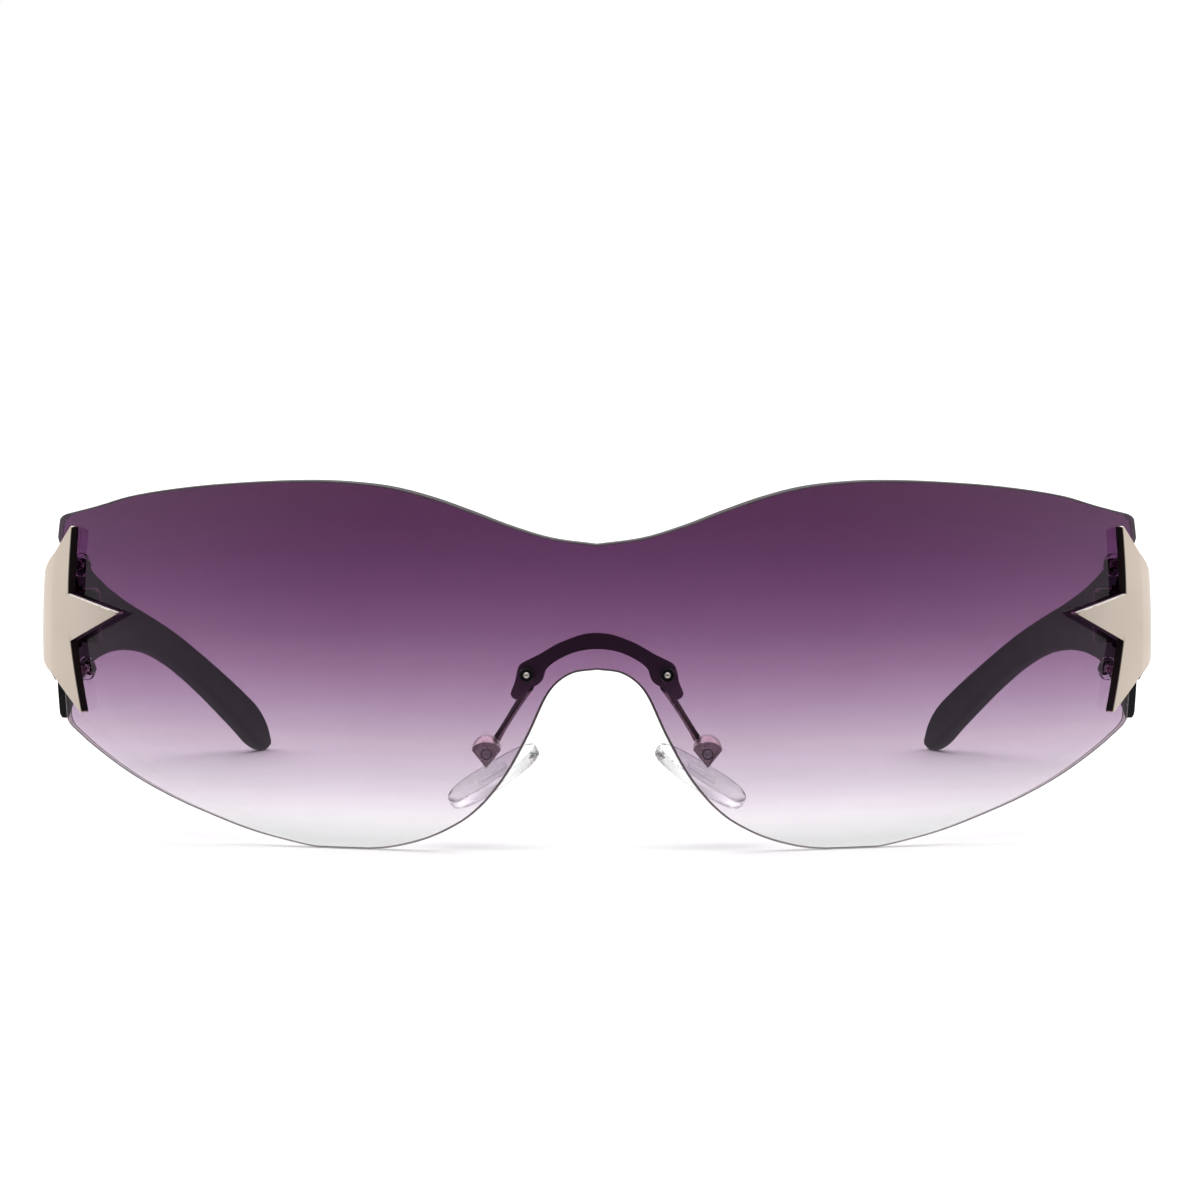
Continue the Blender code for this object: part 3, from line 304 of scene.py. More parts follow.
# Surfaces by name: the two colours that cloud into each other, the range of roughness,
# the strength of the grain, and what else is not as usual
FINISHES = {
    "white_paper": (
        (0.86, 0.86, 0.86), (0.88, 0.88, 0.88), (0.85, 0.95), 0.05,
        dict(grain=PAPER_GRAIN, relief=FINE_GAP, Specular_IOR_Level=0.0),
    ),
    "polished_nickel": (
        (0.68, 0.58, 0.495), (0.73, 0.63, 0.545), (0.08, 0.14), 0.05,
        dict(stretch=(1, 0.06, 1), Metallic=1.0),
    ),
    # Painted shade on the star's walls: near black, in place of the dark the walls show
    "star_painted_shade_walls": (
        (0.006, 0.004, 0.004), (0.012, 0.008, 0.008), (0.34, 0.46), 0.3, dict(Specular_IOR_Level=0.10),
    ),
    # Painted highlight on the star's up-facing walls: pale and matt, in place of the light they catch from
    # above
    "star_painted_highlight_walls": (
        (0.90, 0.87, 0.83), (0.95, 0.92, 0.88), (0.40, 0.50), 0.1, dict(Metallic=0.2),
    ),
    "gunmetal": (
        (0.16, 0.125, 0.145), (0.19, 0.15, 0.17), (0.24, 0.32), 0.08,
        dict(stretch=(0.08, 1, 1), Metallic=0.45, Specular_IOR_Level=0.3),
    ),
    "pad_box_metal": (
        (0.84, 0.69, 0.70), (0.92, 0.77, 0.78), (0.24, 0.32), 0.3, dict(Metallic=0.45),
    ),
    # Painted shade on the pad box's broken edges, round its screw and on the screw's edges
    "pad_box_painted_shade": (
        (0.022, 0.010, 0.014), (0.034, 0.016, 0.022), (0.30, 0.40), 0.2, dict(Specular_IOR_Level=0.12),
    ),
    "pad_arm_metal": (
        (0.28, 0.18, 0.215), (0.34, 0.225, 0.265), (0.15, 0.21), 0.1, dict(Metallic=0.85),
    ),
    # Painted shade: a darker copy of the pad arm's metal for the wire's outer side
    "pad_arm_shaded_metal": (
        (0.07, 0.035, 0.05), (0.09, 0.05, 0.065), (0.2, 0.28), 0.1,
        dict(Metallic=0.6, Specular_IOR_Level=0.2),
    ),
    "pad_screw_metal": (
        (0.66, 0.60, 0.62), (0.74, 0.68, 0.70), (0.22, 0.30), 0.1, dict(Metallic=0.3),
    ),
    "bridge_plate_metal": (
        (0.62, 0.56, 0.58), (0.69, 0.63, 0.65), (0.34, 0.42), 0.08,
        dict(stretch=(0.08, 1, 1), Metallic=0.35),
    ),
    "bright_steel": (
        (0.62, 0.58, 0.54), (0.70, 0.66, 0.61), (0.16, 0.24), 0.08,
        dict(stretch=(1, 1, 0.1), Metallic=0.75),
    ),
    "charcoal_plastic": (
        (0.013, 0.0135, 0.017), (0.017, 0.0175, 0.022), (0.46, 0.54), 0.5,
        dict(grain=MOULD_GRAIN, Specular_IOR_Level=0.12),
    ),
    "black_plastic": (
        (0.002, 0.002, 0.0025), (0.004, 0.004, 0.0045), (0.38, 0.46), 0.5,
        dict(grain=MOULD_GRAIN, Specular_IOR_Level=0.12),
    ),
    "clear_silicone": (
        (0.92, 0.94, 0.935), (0.95, 0.965, 0.96), (0.12, 0.20), 0.06,
        dict(grain=SOFT_GRAIN, Transmission_Weight=0.94, IOR=1.26),
    ),
    "clear_plastic": (
        (0.93, 0.93, 0.94), (0.96, 0.96, 0.97), (0.04, 0.09), 0.04,
        dict(grain=SOFT_GRAIN, Transmission_Weight=1.0, IOR=1.49),
    ),
    "clear_insert": (
        (0.96, 0.96, 0.96), (0.98, 0.98, 0.98), (0.06, 0.12), 0.04,
        dict(grain=SOFT_GRAIN, Transmission_Weight=1.0, IOR=1.12),
    ),
}

SIDE_WORDS = {1: "left", -1: "right"}
ACROSS = Vector((1, 0, 0))
BACK = Vector((0, 1, 0))

# Lens colours by share of the height from the bottom: what both faces together let through
LENS_TINTS = (
    (0.0, (0.795, 0.83, 0.80)), (0.1, (0.725, 0.685, 0.73)), (0.15, (0.63, 0.55, 0.63)),
    (0.2, (0.53, 0.455, 0.53)), (0.25, (0.475, 0.385, 0.48)), (0.3, (0.415, 0.32, 0.41)),
    (0.4, (0.30, 0.198, 0.305)), (0.5, (0.215, 0.117, 0.215)), (0.6, (0.15, 0.068, 0.149)),
    (0.7, (0.111, 0.043, 0.112)), (0.8, (0.084, 0.029, 0.084)), (0.9, (0.07, 0.023, 0.066)),
    (1.0, (0.065, 0.022, 0.058)),
)
# The rim's colours by share of the height: painted shade for the dark a refracting edge shows, darker
# towards the top with the dye
RIM_COLOURS = (
    (0.0, (0.26, 0.23, 0.235)), (0.064, (0.13, 0.10, 0.11)), (0.212, (0.055, 0.036, 0.043)),
    (0.508, (0.024, 0.012, 0.016)), (1.0, (0.011, 0.004, 0.008)),
)
EDGE_TINTS = (
    (0.0, (0.80, 0.78, 0.78)), (0.212, (0.55, 0.50, 0.52)), (0.508, (0.35, 0.25, 0.28)),
    (0.847, (0.20, 0.17, 0.19)), (1.0, (0.04, 0.02, 0.03)),
)
EDGE_HAZE = (0.16, 0.14, 0.15)


def smooth_value(pairs, position):
    """Read a smooth curve through (position, value) pairs."""
    places = [pair[0] for pair in pairs]
    values = [pair[1] for pair in pairs]
    position = min(max(position, places[0]), places[-1])
    index = max(i for i in range(len(places) - 1) if places[i] <= position)

    def slope(i):
        low, high = max(i - 1, 0), min(i + 1, len(places) - 1)
        return (values[high] - values[low]) / (places[high] - places[low])

    span = places[index + 1] - places[index]
    t = (position - places[index]) / span
    start, end = values[index], values[index + 1]
    return (
        start * (2 * t**3 - 3 * t**2 + 1) + end * (3 * t**2 - 2 * t**3)
        + span * (slope(index) * (t**3 - 2 * t**2 + t) + slope(index + 1) * (t**3 - t**2))
    )


def spread(start, end, count):
    """Evenly spaced values from start to end, both included."""
    return [start + (end - start) * i / count for i in range(count + 1)]


def in_frame(point):
    """Turn (across, depth behind the lens's front, height) into the model's frame."""
    return Vector((point[0], point[1] - OVERALL_DEPTH / 2, point[2]))


def lens_bow(height):
    return (height - LENS_WAIST) ** 2 / (2 * LENS_UPRIGHT_RADIUS)


def lens_point(angle, height, lift):
    """A point at an angle round the lens, lifted outwards from its front surface."""
    radius = LENS_RADIUS + lift - lens_bow(height)
    return Vector((radius * math.sin(angle), LENS_RADIUS - radius * math.cos(angle), height))


def lens_angle(nominal, height):
    """The angle of a place on the lens: its upper corners flare outwards past the stars."""
    shares = (
        (height - LENS_FLARE_SHARE * LENS_HEIGHT) / LENS_FLARE_RISE,
        1 - (LENS_HALF_CHORD - abs(nominal)) / LENS_FLARE_WIDTH,
    )
    above, outside = [min(max(share, 0), 1) for share in shares]
    reach = nominal + math.copysign(LENS_FLARE * above * outside**2, nominal)
    return math.asin(reach / LENS_RADIUS)


def outward(angle):
    return Vector((math.sin(angle), -math.cos(angle), 0))


def lens_normal(angle, height):
    lean = (height - LENS_WAIST) / LENS_UPRIGHT_RADIUS
    return Vector((math.sin(angle), -math.cos(angle), lean)).normalized()


def star_point(run, height, lift):
    """A point over the star's path: run is measured from the bend, positive towards the back."""
    bow = lens_bow(height)
    if run <= 0:
        return lens_point(BEND_START_ANGLE + run / STAR_PATH_RADIUS, height, SEAT_GAP + lift)
    angle = min(BEND_START_ANGLE + run / BEND_RADIUS, BEND_END_ANGLE)
    straight = max(run - BEND_ARC, 0)
    along = Vector((math.cos(angle), math.sin(angle), 0))
    centre = Vector((BEND_X, BEND_DEPTH, height))
    middle = centre + outward(angle) * (BEND_RADIUS + lift)
    return middle + along * straight - outward(BEND_START_ANGLE) * bow


def star_inner_x(depth):
    back = max(depth - BEND_DEPTH, 0)
    return STAR_INNER_X - back * math.tan(STAR_TOE_IN_ANGLE)


def temple_inner_x(run):
    into_bend = max(run - TEMPLE_BEND_SHARE, 0) / (1 - TEMPLE_BEND_SHARE)
    return TEMPLE_INNER_X - TEMPLE_TIP_INSET * into_bend**TEMPLE_BEND_POWER


def face_out(bm):
    bmesh.ops.recalc_face_normals(bm, faces=bm.faces)
    if bm.calc_volume(signed=True) < 0:
        bmesh.ops.reverse_faces(bm, faces=bm.faces)
    return bm


def new_mesh(rings, close_loop=False):
    """Skin a list of rings with equal numbers of points, and close its ends or its loop."""
    bm = bmesh.new()
    layers = [[bm.verts.new(point) for point in ring] for ring in rings]
    pairs = list(zip(layers, layers[1:]))
    if close_loop:
        pairs.append((layers[-1], layers[0]))
    else:
        bm.faces.new(layers[0])
        bm.faces.new(layers[-1])
    for low, high in pairs:
        for i in range(len(low)):
            j = (i + 1) % len(low)
            bm.faces.new((low[i], low[j], high[j], high[i]))
    return face_out(bm)


def prism(outline, low, high):
    return new_mesh([[(u, v, w) for u, v in outline] for w in (low, high)])


def mapped(bm, mapping, cuts=()):
    """Cut a body along (position, axis) planes, then move each point by a mapping."""
    bmesh.ops.triangulate(bm, faces=bm.faces, ngon_method="EAR_CLIP")
    for position, axis in cuts:
        geometry = list(bm.verts) + list(bm.edges) + list(bm.faces)
        bmesh.ops.bisect_plane(bm, geom=geometry, plane_co=axis * position, plane_no=axis)
    bmesh.ops.triangulate(bm, faces=bm.faces)
    for vertex in bm.verts:
        vertex.co = mapping(*vertex.co)
    return face_out(bm)


def circle(centre, radius, first, second, sides):
    turns = [2 * math.pi * (i + 0.5) / sides for i in range(sides)]
    return [centre + radius * (math.cos(turn) * first + math.sin(turn) * second) for turn in turns]


def turned(profile, base, axis, sides=ROUND_SIDES, ring=False):
    """A turned body from (radius, distance along the axis) pairs; a ring has a bore."""
    axis = axis.normalized()
    first = axis.orthogonal().normalized()
    second = axis.cross(first)
    rings = [circle(base + axis * along, radius, first, second, sides) for radius, along in profile]
    return new_mesh(rings, close_loop=ring)


def ring_profile(inner, outer, start, end, edge):
    """The section of a ring whose outer corners are broken by a small edge."""
    return (
        (inner, start), (outer - edge, start), (outer, start + edge),
        (outer, end - edge), (outer - edge, end), (inner, end),
    )


def rounded_outline(low, high, radius):
    points = []
    for corner, (u, v) in enumerate(((1, 1), (0, 1), (0, 0), (1, 0))):
        centre_u = (low[0] + radius, high[0] - radius)[u]
        centre_v = (low[1] + radius, high[1] - radius)[v]
        for step in range(CORNER_POINTS + 1):
            angle = QUARTER_TURN * (corner + step / CORNER_POINTS)
            points.append((centre_u + radius * math.cos(angle), centre_v + radius * math.sin(angle)))
    return points


def rectangle(low, high):
    return ((low[0], low[1]), (high[0], low[1]), (high[0], high[1]), (low[0], high[1]))


def box_mesh(low, high):
    return prism(rectangle(low, high), low[2], high[2])


def mirrored(bm, side):
    if side < 0:
        bmesh.ops.scale(bm, vec=(-1, 1, 1), verts=bm.verts)
        bmesh.ops.reverse_faces(bm, faces=bm.faces)
    return bm


def new_object(name, bm):
    mesh = bpy.data.meshes.new(name)
    bm.to_mesh(mesh)
    bm.free()
    piece = bpy.data.objects.new(name, mesh)
    bpy.context.scene.collection.objects.link(piece)
    return piece


def settle(piece):
    """Apply a piece's modifiers and drop what they used."""
    used = [modifier.object for modifier in piece.modifiers if modifier.type == "BOOLEAN"]
    graph = bpy.context.evaluated_depsgraph_get()
    graph.update()
    mesh = bpy.data.meshes.new_from_object(piece.evaluated_get(graph))
    piece.modifiers.clear()
    piece.data = mesh
    for guide in used:
        bpy.data.objects.remove(guide)


def carve(piece, cutters):
    """Cut closed bodies out of a piece."""
    for bm in cutters:
        modifier = piece.modifiers.new("Cut", "BOOLEAN")
        modifier.operation = "DIFFERENCE"
        modifier.solver = "EXACT"
        modifier.object = new_object("cutter", bm)
    settle(piece)


def break_edges(piece, width, angle=BREAK_ANGLE, material=-1):
    """Round a piece's sharp edges by a small width, with a material of their own if it is given."""
    bevel = piece.modifiers.new("Bevel", "BEVEL")
    bevel.material = material
    bevel.width = width
    bevel.segments = BREAK_STEPS
    bevel.limit_method = "ANGLE"
    bevel.angle_limit = angle
    settle(piece)


def smooth(piece):
    piece.data.shade_smooth()
    piece.data.set_sharp_from_angle(angle=SHARP_ANGLE)
    weigh = piece.modifiers.new("Normals", "WEIGHTED_NORMAL")
    weigh.keep_sharp = True


def stand_in(node, bm, side=1):
    """The piece that takes the place of a node, mirrored for the wearer's right."""
    return new_object(f"{node}_finish", mirrored(bm, side))


def coat(piece, slot, names):
    """Give a piece its surfaces: those named, or the one that is called what its slot is."""
    for name in names or (slot,):
        piece.data.materials.append(surfaces[name])


def finished(piece, node, body, slot, *names):
    """Coat a piece unless it is coated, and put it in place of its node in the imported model."""
    if not piece.data.materials:
        coat(piece, slot, names)
    smooth(piece)
    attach(piece, body)
    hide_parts(node)


def refined(node, width, body, slot, *names, cutters=()):
    """A node's own shape with its edges broken; a second surface goes on those edges."""
    bm = bmesh.new()
    bm.from_mesh(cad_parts[node].data)
    bmesh.ops.remove_doubles(bm, verts=bm.verts, dist=WELD)
    piece = stand_in(node, bm)
    carve(piece, cutters)
    coat(piece, slot, names)
    break_edges(piece, width, material=len(piece.data.materials) - 1)
    finished(piece, node, body, slot)
    return piece


def bridge_pin_frame():
    """The place of a bridge pin on the lens's front, and the way it points out of it."""
    angle = math.asin(BRIDGE_PIN_SPREAD / LENS_RADIUS)
    return in_frame(lens_point(angle, BRIDGE_PIN_HEIGHT, 0)), lens_normal(angle, BRIDGE_PIN_HEIGHT)


def peg_frames():
    """The place on the lens's front and outward direction of a star's two pegs."""
    frames = {}
    for word, arm in (("upper", 1), ("lower", -1)):
        angle = arm * 2 * math.pi / STAR_ARMS + STAR_TILT_ANGLE
        forward = PEG_REACH * math.cos(angle) + PEG_FORWARD * math.sin(abs(angle))
        rise = PEG_REACH * math.sin(angle) - arm * PEG_FORWARD * math.cos(angle)
        around = BEND_START_ANGLE + (STAR_PAST_BEND - forward) / STAR_PATH_RADIUS
        height = STAR_HEIGHT + rise
        frames[word] = (in_frame(lens_point(around, height, 0)), lens_normal(around, height))
    return frames


def lens_edge(nominal):
    """The bottom and top of the lens at a distance across, with its corners rounded."""
    share = nominal / LENS_HALF_CHORD
    into_corner = max(nominal - (LENS_HALF_CHORD - LENS_CORNER_RADIUS), 0)
    drop = LENS_CORNER_RADIUS - math.sqrt(max(LENS_CORNER_RADIUS**2 - into_corner**2, 0))
    bottom = max(smooth_value(LENS_BOTTOM_SHARES, share), 0) * LENS_HEIGHT + drop
    top = smooth_value(LENS_TOP_SHARES, share) * LENS_HEIGHT - drop
    return bottom, top


def rim_steps():
    """The rim's quarter round, from the flat to the edge: (inset, depth) pairs."""
    turns = spread(0, QUARTER_TURN, RIM_STEPS)
    return [(LENS_RIM * (1 - math.sin(turn)), LENS_RIM * (1 - math.cos(turn))) for turn in turns]


def lens_place(nominal, height, depth):
    return in_frame(lens_point(lens_angle(nominal, height), height, -depth))


def lens_column(nominal):
    """(height, depth) pairs up the lens's front with its rounded rim, at a distance across."""
    across = abs(nominal)
    bottom, top = lens_edge(across)
    reach = LENS_RIM / 2
    before, after = lens_edge(max(across - reach, 0)), lens_edge(min(across + reach, LENS_HALF_CHORD))
    slopes = [(after[i] - before[i]) / reach / 2 for i in (0, 1)]
    low_stretch, high_stretch = [min(math.hypot(1, s), LENS_RIM_STEEPEST) for s in slopes]
    into_end = max(across - (LENS_HALF_CHORD - LENS_RIM), 0)
    end_depth = LENS_RIM - math.sqrt(max(LENS_RIM**2 - into_end**2, 0))
    rim = rim_steps()
    column = [(bottom + inset * low_stretch, depth) for inset, depth in reversed(rim)]
    flat = spread(bottom + LENS_RIM * low_stretch, top - LENS_RIM * high_stretch, LENS_ROWS)
    column += [(height, 0) for height in flat[1:-1]]
    column += [(top - inset * high_stretch, depth) for inset, depth in rim]
    return [(height, max(depth, end_depth)) for height, depth in column]


def lens_ring(nominal):
    """Points round the lens at a distance across, each with the material after it."""
    column = lens_column(nominal)
    bottom, top = column[0][0], column[-1][0]
    depths = [depth for height, depth in column]
    kinds = [RIM_FACE if max(pair) > 0 else TINT_FACE for pair in zip(depths, depths[1:])] + [CUT_FACE]
    ring = [(height, depth, kind) for (height, depth), kind in zip(column, kinds)]
    ring += [(top, depth, CUT_FACE) for depth in LENS_LINE_DEPTHS]
    ring += [(height, LENS_THICKNESS - depth, TINT_FACE) for height, depth in reversed(column)]
    below = zip(reversed(LENS_LINE_DEPTHS), (RIM_FACE, CUT_FACE))
    ring += [(bottom, depth, kind) for depth, kind in below]
    return [(lens_place(nominal, height, depth), kind) for height, depth, kind in ring]


def cap_lens(bm, nominal, ring):
    """Close an end of the lens: sawn plastic, a dark line, and clear plastic behind it."""
    column = lens_column(nominal)
    count = len(column)
    rows = [ring[:count]]
    for i, depth in enumerate(LENS_LINE_DEPTHS):
        inner = [bm.verts.new(lens_place(nominal, height, depth)) for height, _ in column[1:-1]]
        rows.append([ring[-1 - i], *inner, ring[count + i]])
    middle = len(LENS_LINE_DEPTHS)
    rows.append(ring[count + middle:2 * count + middle][::-1])
    for low, high, kind in zip(rows, rows[1:], (CUT_FACE, RIM_FACE, TINT_FACE)):
        for i in range(count - 1):
            bm.faces.new((low[i], low[i + 1], high[i + 1], high[i])).material_index = kind


def make_lens():
    """The shield lens with a rounded rim and its six bores."""
    corner_start = LENS_HALF_CHORD - LENS_CORNER_RADIUS
    zone = NOTCH_ZONE_SHARE * LENS_HALF_CHORD
    half = spread(0, zone, NOTCH_COLUMNS)[:-1] + spread(zone, corner_start, SIDE_COLUMNS)
    for turn in spread(0, QUARTER_TURN, CORNER_COLUMNS)[1:]:
        half.append(corner_start + LENS_CORNER_RADIUS * math.sin(turn))
    bm = bmesh.new()
    layers = []
    for nominal in [-value for value in reversed(half[1:])] + half:
        layers.append([(bm.verts.new(point), kind) for point, kind in lens_ring(nominal)])
    for nominal, layer in ((-LENS_HALF_CHORD, layers[0]), (LENS_HALF_CHORD, layers[-1])):
        cap_lens(bm, nominal, [vertex for vertex, kind in layer])
    for low, high in zip(layers, layers[1:]):
        for i in range(len(low)):
            j = (i + 1) % len(low)
            face = bm.faces.new((low[i][0], low[j][0], high[j][0], high[i][0]))
            face.material_index = max(low[i][1], high[i][1])
    piece = stand_in("shield_lens", face_out(bm))
    reach = LENS_THICKNESS + OVERRUN
    bores = []
    frames = [(BUSH_RADIUS + FINE_GAP, bridge_pin_frame())]
    frames += [(PEG_RADIUS + SNUG_GAP, peg_frame) for peg_frame in peg_frames().values()]
    for side in (1, -1):
        for radius, (place, out) in frames:
            bores.append(mirrored(turned(((radius, -reach), (radius, OVERRUN)), place, out), side))
    carve(piece, bores)
    finished(piece, "shield_lens", "front", "tinted_lens", "tinted_lens", "lens_rim", "lens_edge_face")


def star_outline():
    """The star's corners as (run, rise): its upper and lower arms lean a little forward."""
    outline = []
    for corner in range(2 * STAR_ARMS):
        radius = (STAR_TIP_RADIUS, STAR_NOTCH_RADIUS)[corner % 2]
        angle = math.pi * corner / STAR_ARMS + STAR_TILT_ANGLE
        rise = radius * math.sin(angle)
        rise *= STAR_LOWER_SHARE if rise < 0 else 1
        lean = STAR_LEAN_SHARE * rise**2 / STAR_TIP_RADIUS
        outline.append((STAR_PAST_BEND - radius * math.cos(angle) - lean, rise))
    return outline


def rounded_tips(outline):
    """Round every second corner of a star's outline."""
    corners = [Vector(point) for point in outline]
    points = []
    for i, corner in enumerate(corners):
        if i % 2:
            points.append(corner)
            continue
        before = (corners[i - 1] - corner).normalized()
        after = (corners[(i + 1) % len(corners)] - corner).normalized()
        half_angle = before.angle(after) / 2
        centre = corner + (before + after).normalized() * (STAR_TIP_ROUND / math.sin(half_angle))
        reach = STAR_TIP_ROUND / math.tan(half_angle)
        start, end = corner + before * reach - centre, corner + after * reach - centre
        points += [centre + start.slerp(end, share) * STAR_TIP_ROUND for share in spread(0, 1, TIP_STEPS)]
    return points


def make_star(side):
    """A star with bright broken edges, and the two pegs cast on its back.

    Its walls carry painted shade, dark except at the tips, and a painted highlight towards the front where
    they face up.
    """
    front, back = STAR_PAST_BEND - STAR_TIP_RADIUS, STAR_PAST_BEND + STAR_TIP_RADIUS
    runs = spread(front, 0, math.ceil(-front / STAR_STRIP))[1:-1]
    runs += spread(0, BEND_ARC, math.ceil(BEND_ARC / STAR_BEND_STRIP))
    runs += spread(BEND_ARC, back, math.ceil((back - BEND_ARC) / STAR_STRIP / 2))[1:-1]
    rises = spread(-STAR_TIP_RADIUS, STAR_TIP_RADIUS, STAR_RISES)[1:-1]
    cuts = [(run, ACROSS) for run in runs] + [(rise, BACK) for rise in rises]
    outline = rounded_tips(star_outline())
    highlight_level = STAR_HIGHLIGHT_LEVEL_SHARE * STAR_THICKNESS
    bm = new_mesh([[(u, v, w) for u, v in outline] for w in (0, highlight_level, STAR_THICKNESS)])
    for face in bm.faces:
        middle = face.calc_center_median()
        from_centre = math.hypot(middle.x - STAR_PAST_BEND, middle.y)
        if abs(face.normal.z) > STAR_WALL_SHARE:
            continue
        # Up-facing walls towards the front get a painted highlight, a pale matt surface
        if face.normal.y > STAR_TOP_WALL_SHARE and middle.z > highlight_level:
            face.material_index = STAR_PAINTED_HIGHLIGHT_WALL
        # Other walls near the star's centre get painted shade, a near-black surface
        elif from_centre < STAR_TIP_ZONE_SHARE * STAR_TIP_RADIUS:
            face.material_index = STAR_PAINTED_SHADE_WALL
    upper = [e for e in bm.edges if all(v.co.z > STAR_THICKNESS - WELD for v in e.verts)]
    bmesh.ops.bevel(
        bm, geom=upper, offset=STAR_EDGE, offset_type="OFFSET", segments=BREAK_STEPS,
        profile=BREAK_PROFILE, affect="EDGES", material=STAR_FACE,
    )

    def over_lens(run, rise, lift):
        return in_frame(star_point(run, STAR_HEIGHT + rise, lift))

    bm = mapped(bm, over_lens, cuts)
    end = LENS_THICKNESS + SNUG_GAP + WASHER_THICKNESS + SNUG_GAP + NUT_HEIGHT + PEG_END
    for place, out in peg_frames().values():
        peg = (
            (PEG_RADIUS - SMALL_BREAK, -end), (PEG_RADIUS, SMALL_BREAK - end),
            (PEG_RADIUS, SEAT_GAP + STAR_THICKNESS / 2),
        )
        body = turned(peg, place, out)
        mesh = bpy.data.meshes.new("peg")
        body.to_mesh(mesh)
        bm.from_mesh(mesh)
        body.free()
        bpy.data.meshes.remove(mesh)
    node = f"star_{SIDE_WORDS[side]}"
    piece = stand_in(node, bm, side)
    finished(piece, node, "front", "polished_nickel", "polished_nickel", "star_painted_shade_walls", "star_painted_highlight_walls")


def make_peg_fittings(side):
    """A clear washer and a hexagon nut on each peg, against the inner face of the lens."""
    bore = PEG_RADIUS + SNUG_GAP
    for word, (place, out) in peg_frames().items():
        seat = -(LENS_THICKNESS + SNUG_GAP)
        profile = ring_profile(bore, WASHER_RADIUS, seat - WASHER_THICKNESS, seat, SMALL_BREAK)
        node = f"peg_washer_{word}_{SIDE_WORDS[side]}"
        washer = stand_in(node, turned(profile, place, out, ring=True), side)
        finished(washer, node, "front", "clear_plastic")
        seat -= WASHER_THICKNESS + SNUG_GAP
        node = f"peg_nut_{word}_{SIDE_WORDS[side]}"
        hexagon = turned(((NUT_RADIUS, seat - NUT_HEIGHT), (NUT_RADIUS, seat)), place, out, NUT_SIDES)
        nut = stand_in(node, hexagon, side)
        through = ((bore, seat - NUT_HEIGHT - OVERRUN), (bore, seat + OVERRUN))
        carve(nut, [mirrored(turned(through, place, out), side)])
        break_edges(nut, SMALL_BREAK)
        finished(nut, node, "front", "gunmetal")


def make_bridge():
    """The arched plate behind the lens, with a domed pin and a bush at each end."""
    refined("bridge_plate", METAL_BREAK, "front", "gunmetal", "bridge_plate_metal")
    bore = BRIDGE_PIN_RADIUS + FINE_GAP
    for side in (1, -1):
        word = SIDE_WORDS[side]
        place, out = bridge_pin_frame()
        head = -BRIDGE_BACK - SNUG_GAP
        tip = BRIDGE_PIN_PROUD
        pin = (
            (BRIDGE_HEAD_RADIUS / 2, head - BRIDGE_HEAD_HEIGHT),
            (BRIDGE_HEAD_RADIUS - METAL_BREAK, head - BRIDGE_HEAD_HEIGHT + SMALL_BREAK),
            (BRIDGE_HEAD_RADIUS, head - METAL_BREAK), (BRIDGE_HEAD_RADIUS, head),
            (BRIDGE_PIN_RADIUS, head),
            *[(BRIDGE_PIN_RADIUS * wide, tip - BRIDGE_PIN_DOME * deep) for wide, deep in PIN_END_SHARES],
        )
        node = f"bridge_pin_{word}"
        finished(stand_in(node, turned(pin, place, out), side), node, "front", "bright_steel")
        node = f"bridge_bush_{word}"
        bush = ring_profile(bore, BUSH_RADIUS, -LENS_THICKNESS, BUSH_PROUD, SMALL_BREAK)
        piece = stand_in(node, turned(bush, place, out, ring=True), side)
        finished(piece, node, "front", "black_plastic")


def with_long_sides(outline):
    """Add points along the two upright sides of a rounded outline, so that they can bow."""
    per_corner = CORNER_POINTS + 1
    points = []
    for i, (u, v) in enumerate(outline):
        points.append((u, v))
        if i + 1 in (2 * per_corner, 4 * per_corner):
            next_u, next_v = outline[(i + 1) % len(outline)]
            for share in spread(0, 1, TEMPLE_SIDE_STEPS)[1:-1]:
                points.append((u + (next_u - u) * share, v + (next_v - v) * share))
    return points


def temple_ring(run):
    """One cross-section of a temple: round-cornered, and thinner above and below its hinge."""
    into_cap = max(1 - TEMPLE_LENGTH * (1 - run) / TEMPLE_CAP_LENGTH, 0)
    rounding = math.sqrt(1 - min(into_cap, TEMPLE_CAP_SHARE) ** 2)
    low, high = [smooth_value(s, run) for s in (TEMPLE_BOTTOM_SHARES, TEMPLE_TOP_SHARES)]
    middle, half = (high + low) / 2 * LENS_HEIGHT, (high - low) / 2 * LENS_HEIGHT * rounding
    bottom, top = max(middle - half, 0), middle + half
    depth = TEMPLE_FRONT_DEPTH + run * TEMPLE_LENGTH
    inner = temple_inner_x(run)
    front = min(star_inner_x(depth) - SEAT_GAP - inner, TEMPLE_FRONT_THICKNESS)
    thickness = max(front, TEMPLE_THICKNESS) if run < TEMPLE_BEND_SHARE else TEMPLE_THICKNESS
    slimming = thickness * TEMPLE_SLIM_SHARE / 2 * (1 - rounding)
    inner, outer = inner + slimming, inner + thickness - slimming
    fade = max(1 - run * TEMPLE_LENGTH / TEMPLE_FLARE_LENGTH, 0)
    radius = min(TEMPLE_EDGE_RADIUS, (top - bottom) * TEMPLE_ROUND_SHARE)
    relief = TEMPLE_RELIEF * max(1 - run * TEMPLE_LENGTH / TEMPLE_RELIEF_LENGTH, 0)
    ring = []
    for across, height in with_long_sides(rounded_outline((inner, bottom), (outer, top), radius)):
        past_hinge = abs(height - STAR_HEIGHT) - BRACKET_HEIGHT / 2 - NOTCH_MARGIN
        share = min(max(past_hinge / TEMPLE_RELIEF_RISE, 0), 1)
        across += relief * share * (outer - across) / (outer - inner)
        bow = lens_bow(height) * fade
        ring.append(in_frame(Vector((across, depth, height)) - outward(LENS_END_ANGLE) * bow))
    return ring


